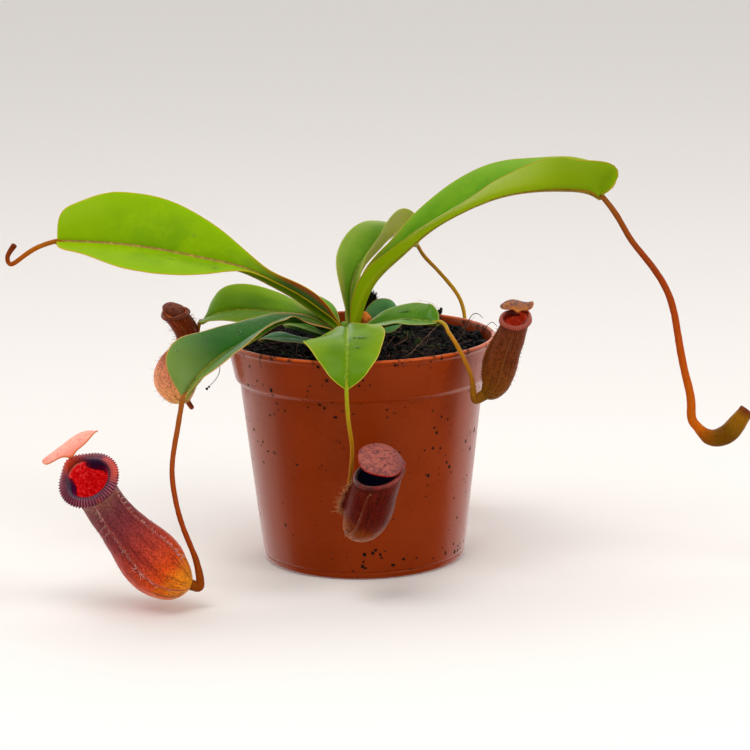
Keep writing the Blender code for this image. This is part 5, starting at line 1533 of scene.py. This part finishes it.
class PLANT_OT_moss(bpy.types.Operator):
    """Stands the dark tuft of hair moss on the soil"""
    bl_idname = "plant.moss"
    bl_label = "Moss tuft"

    def execute(self, context):
        look = context.scene.plant_moss
        draw = np.random.default_rng(31)
        foot = float(soil_height(*TUFT_PLACE)) - 0.5
        rows, columns = 60, 72
        angle = angles(columns)
        share = np.linspace(0, 1, rows)[:, None]
        wide = np.interp(share, (0, 0.12, 0.35, 0.6, 0.82, 1), (0.9, 1.0, 0.85, 0.8, 0.6, 0.22)) * 0.86
        radius = TUFT_RADIUS * wide * (1 + 0.14 * np.sin(3 * angle + 9 * share) * np.minimum(share * 4, 1))
        rings = turned_rings(radius, foot + (TUFT_TOP - 1 - foot) * share, angle, TUFT_PLACE)
        rings[..., 0] += TUFT_LEAN * share
        out = unit(rings - np.array([*TUFT_PLACE, foot - 4]))
        rings = rings + out * (0.7 * noise(rings, 1.6, 32) + 0.5 * noise(rings, 3.4, 33))[..., None]
        core = loft(rings, {"along": 0.05, "tone": 0.4})
        count = look.hairs
        row = (draw.uniform(0.02, 1, count) ** 0.8 * (rows - 1)).astype(int)
        column = draw.integers(0, columns, count)
        starts = rings[row, column]
        upward = np.array([0, 0, 1.0]) * draw.uniform(0.1, 1.3, (count, 1))
        ahead = unit(out[row, column] + upward + draw.normal(0, 0.25, (count, 3)))
        length = look.length / MM * draw.uniform(0.35, 1.0, count) * (1 - 0.35 * row / (rows - 1))
        paths = curled(draw, starts, ahead, length, 6, 0.18, droop=0.15)
        paths[..., 2] = np.minimum(paths[..., 2], TUFT_TOP + 1.5)
        width = np.linspace(1, 0.25, 6) * draw.uniform(0.09, 0.17, (count, 1))
        hairs = strands(paths, width, draw.uniform(0, 1, (count, 1)))
        fibre = dry_fibre("hair moss", look.core, look.tip, 0.85)
        add_piece("moss_tuft", joined(core, hairs), fibre, "moss", "moss_clump")
        return {"FINISHED"}


class PLANT_OT_stem(bpy.types.Operator):
    """Grows the short stem that the leaves clasp"""
    bl_idname = "plant.stem"
    bl_label = "Stem"

    def execute(self, context):
        height = np.linspace(SOIL_LEVEL - 20, STEM_TOP - 0.2, 70)
        share = np.interp(height, (SOIL_LEVEL - 20, SOIL_LEVEL, STEM_TOP - 4, STEM_TOP - 1, STEM_TOP),
                          (0.9, 1, 0.9, 0.6, 0.3))
        radius = STEM_RADIUS * share * (1 + 0.03 * np.sin(height * 2.1))
        rings = turned_rings(radius[:, None], height[:, None], angles(40), STEM_PLACE)
        centre = np.array([*STEM_PLACE, 0])
        spoke = unit((rings - centre) * (1, 1, 0))
        rings = rings + spoke * (0.2 * noise(rings, 2.0, 41))[..., None]
        shape = loft(rings, {"along": np.linspace(0, 1, len(height))[:, None]})
        add_piece("stem_skin", shape, wiry_skin("stem", STEM_LOOK, 0.5), "stem", "stem")
        return {"FINISHED"}


class PLANT_OT_leaves(bpy.types.Operator):
    """Grows each leaf's blade and stalk"""
    bl_idname = "plant.leaves"
    bl_label = "Leaves"

    def execute(self, context):
        look = context.scene.plant_leaf
        for number, (name, data) in enumerate(LEAVES.items()):
            shape = leaf_shape(data, LEAF_SEED + 3 * number, look.blade / MM, look.rib / MM)
            skin = leaf_skin(name.removeprefix("leaf_"), *LEAF_LOOKS[name])
            add_piece(name + "_blade", shape, skin, "leaf", name)
        water = standing_water(look.water)
        for number, (name, data) in enumerate(LEAVES.items()):
            if name in DROPS:
                drops = drops_shape(data, DROPS[name], LEAF_SEED + 3 * number)
                add_piece(name + "_drops", drops, water, "leaf")
        return {"FINISHED"}


class PLANT_OT_tendrils(bpy.types.Operator):
    """Draws each leaf's midrib out into its tendril"""
    bl_idname = "plant.tendrils"
    bl_label = "Tendrils"

    def execute(self, context):
        look = context.scene.plant_tendril
        for number, (name, data) in enumerate(TENDRILS.items()):
            skin = wiry_skin(name, TENDRIL_LOOKS[name], look.roughness)
            add_piece(name + "_wire", tendril_shape(data, TENDRIL_SEED + number), skin, "tendril", name)
        return {"FINISHED"}


class PLANT_OT_pitchers(bpy.types.Operator):
    """Blows each pitcher's hollow, winged body"""
    bl_idname = "plant.pitchers"
    bl_label = "Pitchers"

    def execute(self, context):
        look = context.scene.plant_pitcher
        for number, (name, data) in enumerate(PITCHERS.items()):
            skin = pitcher_skin(name, PITCHER_LOOKS[name])
            shape = pitcher_shape(data, look.wing / MM, PITCHER_SEED + 3 * number)
            add_piece("pitcher_" + name + "_cup", shape, skin, "pitcher", "pitcher_" + name)
        return {"FINISHED"}


class PLANT_OT_lips(bpy.types.Operator):
    """Rolls the ribbed lip of each pitcher's mouth"""
    bl_idname = "plant.lips"
    bl_label = "Lips"

    def execute(self, context):
        for number, (name, data) in enumerate(PITCHERS.items()):
            skin = glazed_lip(name, RING_LOOKS[name])
            ring = "peristome_" + name
            add_piece(ring + "_lip", ring_shape(data, number), skin, "peristome", ring)
        return {"FINISHED"}


class PLANT_OT_lids(bpy.types.Operator):
    """Hangs each pitcher's lid"""
    bl_idname = "plant.lids"
    bl_label = "Lids"

    def execute(self, context):
        for number, (name, data) in enumerate(PITCHERS.items()):
            colours, thickness = LID_LOOKS[name]
            skin = lid_skin(name, colours)
            shape = lid_shape(data, *LID_FORMS[name], thickness, number)
            add_piece("lid_" + name + "_plate", shape, skin, "lid", "lid_" + name)
        return {"FINISHED"}


class PLANT_OT_buds(bpy.types.Operator):
    """Grows the hanging bud and the small dried one beside the stem"""
    bl_idname = "plant.buds"
    bl_label = "Buds"

    def execute(self, context):
        # The hanging bud has a lip, and the crown bud is closed.
        shape = bud_shape(BUD_AXIS, BUD_RADII, front=(0, -1, 0), seed=131, roughness=0.1, slot=True)
        add_piece("bud_right_skin", shape, wiry_skin("hanging bud", HANGING_BUD_LOOK), "bud", "bud_right")
        ground = float(soil_height(*CROWN_BUD_AXIS[0][:2])) - 0.4
        standing = [(x, y, z + ground + (NODE_GAP + 0.4) * (z > 0)) for x, y, z in CROWN_BUD_AXIS]
        shape = bud_shape(standing, CROWN_BUD_RADII, front=(0, -1, 0), seed=133, roughness=0.4, slot=False)
        skin = wiry_skin("crown bud", CROWN_BUD_LOOK, 0.6)
        add_piece("bud_crown_skin", shape, skin, "tendril", "bud_crown")
        return {"FINISHED"}


class PLANT_OT_hairs(bpy.types.Operator):
    """Sets the fringe along the pitchers' wings and the short hairs on their walls"""
    bl_idname = "plant.hairs"
    bl_label = "Hairs"

    def execute(self, context):
        look = context.scene.plant_hair
        short = dry_fibre("short brown down", look.dark, look.light, 0.6)
        for number, (name, data) in enumerate(PITCHERS.items()):
            draw = np.random.default_rng(HAIR_SEED + number)
            *wings, root, tip, down_length = FRINGES[name]
            wing = math.radians(data["wings"])
            # The fringe stands in a row along the crest of either wing.
            paths, widths = [], []
            for sign, (count, long) in zip((-1, 1), wings):
                where = np.sort(draw.uniform(0.12, 0.96, count))
                on_wing, seed = np.array([sign * wing]), PITCHER_SEED + 3 * number
                crest = pitcher_wall(data, where, on_wing, FRINGE_ROOTS, seed)[:, 0]
                centre, normal, _, _ = axis_frame(data["axis"], data["front"], where, data["mouth"])
                spoke = unit(crest - centre)
                slant = normal * draw.normal(0, 0.7, (count, 1))
                ahead = unit(spoke + draw.normal(0, 0.4, (count, 3)) + slant)
                length = long * draw.uniform(0.35, 1.0, count) * (0.6 + 0.4 * np.sin(where * 40) ** 2)
                paths.append(curled(draw, crest - spoke * 0.3, ahead, length, 7, 0.26))
                widths.append(look.width / MM * draw.uniform(0.6, 1.1, (count, 1)) * np.linspace(1, 0.25, 7))
            paths, widths = np.concatenate(paths), np.concatenate(widths)
            fringe = strands(paths, widths, draw.uniform(0.2, 1, (len(paths), 1)))
            skin = dry_fibre("wing fringe, " + name, linear(root), linear(tip), 0.5)
            add_piece("fringe_" + name, fringe, skin, "pitcher")
            # The down is scattered all over the wall.
            count = DOWN_HAIRS
            where = draw.uniform(0.08, 0.97, count)
            angle = draw.uniform(-math.pi, math.pi, count)
            radius = read_stations(data["radii"], where)[0]
            centre, _, front, left = axis_frame(data["axis"], data["front"], where, data["mouth"])
            spoke = front * np.cos(angle)[:, None] + left * np.sin(angle)[:, None]
            starts = centre + spoke * (radius - 0.25)[:, None]
            ahead = unit(spoke + draw.normal(0, 0.5, (count, 3)))
            paths = curled(draw, starts, ahead, down_length * draw.uniform(0.5, 1.0, count), 4, 0.15)
            widths = np.linspace(1, 0.3, 4) * draw.uniform(0.04, 0.07, (count, 1))
            down = strands(paths, widths, draw.uniform(0, 1, (count, 1)))
            add_piece("down_" + name, down, short, "pitcher")
        return {"FINISHED"}


class PLANT_OT_stage(bpy.types.Operator):
    """Lays the pale floor and sets the lights and the camera"""
    bl_idname = "plant.stage"
    bl_label = "Stage"

    def execute(self, context):
        look = context.scene.plant_stage
        scene = context.scene
        edge = turned_rings(look.radius, 0, angles(128))
        mesh = bpy.data.meshes.new("floor")
        mesh.from_pydata(edge.tolist(), [], [list(range(len(edge)))])
        mesh.materials.append(seamless_paper(look.paper))
        floor = bpy.data.objects.new("floor", mesh)
        scene.collection.objects.link(floor)
        # The plastic's gloss shows the dark below instead of this floor.
        floor.visible_glossy = False

        world = bpy.data.worlds.new("studio")
        world.use_nodes = True
        node = node_adder(world.node_tree)
        way = node("TexCoord", output="Generated")
        # A bright backdrop stands behind the plant and to its sides. What faces the plant from the front
        # and from below is dark, so the plastic shows its own colour there.
        across, depth, height = (node("SeparateXYZ", {0: way}, axis) for axis in "XYZ")
        side = node("Math", {0: across, 1: -0.1, 2: depth}, operation="MULTIPLY_ADD")
        behind = node("MapRange", {0: side, 1: 0.12, 2: 0.22}, **EASED)
        above = node("MapRange", {0: height, 1: -0.06, 2: 0.02}, **EASED)
        front = node("Math", {0: above, 1: 0.2}, operation="MULTIPLY")
        power = node("Math", {0: front, 1: behind}, operation="MAXIMUM")
        power = node("MapRange", {0: power, 3: 0.02, 4: look.backdrop})
        backdrop = world.node_tree.nodes["Background"]
        world.node_tree.links.new(power, backdrop.inputs["Strength"])
        backdrop.inputs["Color"].default_value = linear("#FFFCFA")
        scene.world = world

        lamps = [("key", (-0.4, -0.55, 1.5), look.key), ("fill", (1.1, -1.0, 1.1), look.fill)]
        for name, place, power in lamps:
            light = bpy.data.lights.new(name, "AREA")
            light.size = LAMP_SIZE
            light.energy = power
            light.color = linear("#FFFDFA")[:3]
            z = unit(np.subtract(place, LAMP_AIM))
            x = unit(np.cross((0, 0, 1), z))
            stand(name, light, (x, np.cross(z, x), z), place)

        pitch, roll = math.radians(CAMERA_PITCH), math.radians(CAMERA_ROLL)
        back = np.array([0, -math.cos(pitch), math.sin(pitch)])
        right, up = np.array([1.0, 0, 0]), np.array([0, math.sin(pitch), math.cos(pitch)])
        x = math.cos(roll) * right - math.sin(roll) * up
        y = math.sin(roll) * right + math.cos(roll) * up
        lens = bpy.data.cameras.new("photo view")
        lens.sensor_width = 36
        lens.lens = CAMERA_LENS
        lens.clip_start, lens.clip_end = 0.05, 60
        place = np.array(CAMERA_AIM) + back * CAMERA_DISTANCE
        scene.camera = stand("photo view", lens, (x, y, back), place)
        scene.view_settings.view_transform = "Standard"
        return {"FINISHED"}


class PLANT_PT_panel(bpy.types.Panel):
    """Lists the operators and their settings"""
    bl_idname = "PLANT_PT_panel"
    bl_label = "Potted pitcher plant"
    bl_space_type = "VIEW_3D"
    bl_region_type = "UI"
    bl_category = "Plant"

    def draw(self, context):
        for name, groups in STEPS.items():
            box = self.layout.box()
            box.operator("plant." + name)
            for group in groups:
                settings = getattr(context.scene, "plant_" + group)
                for label in settings.__annotations__:
                    box.prop(settings, label)


# Each step in order, with the settings that it reads.
STEPS = {"pot": ["pot"], "soil": ["soil"], "moss": ["moss"], "stem": [], "leaves": ["leaf"],
         "tendrils": ["tendril"], "pitchers": ["pitcher"], "lips": [], "lids": [], "buds": [],
         "hairs": ["hair"], "stage": ["stage"]}

SETTINGS = {"pot": PotSettings, "soil": SoilSettings, "moss": MossSettings,
            "leaf": LeafSettings, "tendril": TendrilSettings, "pitcher": PitcherSettings,
            "hair": HairSettings, "stage": StageSettings}

CLASSES = (*SETTINGS.values(), PLANT_OT_pot, PLANT_OT_soil, PLANT_OT_moss, PLANT_OT_stem, PLANT_OT_leaves,
           PLANT_OT_tendrils, PLANT_OT_pitchers, PLANT_OT_lips, PLANT_OT_lids, PLANT_OT_buds, PLANT_OT_hairs,
           PLANT_OT_stage, PLANT_PT_panel)


def register():
    for each in CLASSES:
        bpy.utils.register_class(each)
    for name, group in SETTINGS.items():
        setattr(bpy.types.Scene, "plant_" + name, bpy.props.PointerProperty(type=group))


def unregister():
    for name in SETTINGS:
        delattr(bpy.types.Scene, "plant_" + name)
    for each in reversed(CLASSES):
        bpy.utils.unregister_class(each)


def main():
    """Runs each step."""
    register()
    for name in STEPS:
        getattr(bpy.ops.plant, name)()


if __name__ == "__main__":
    main()
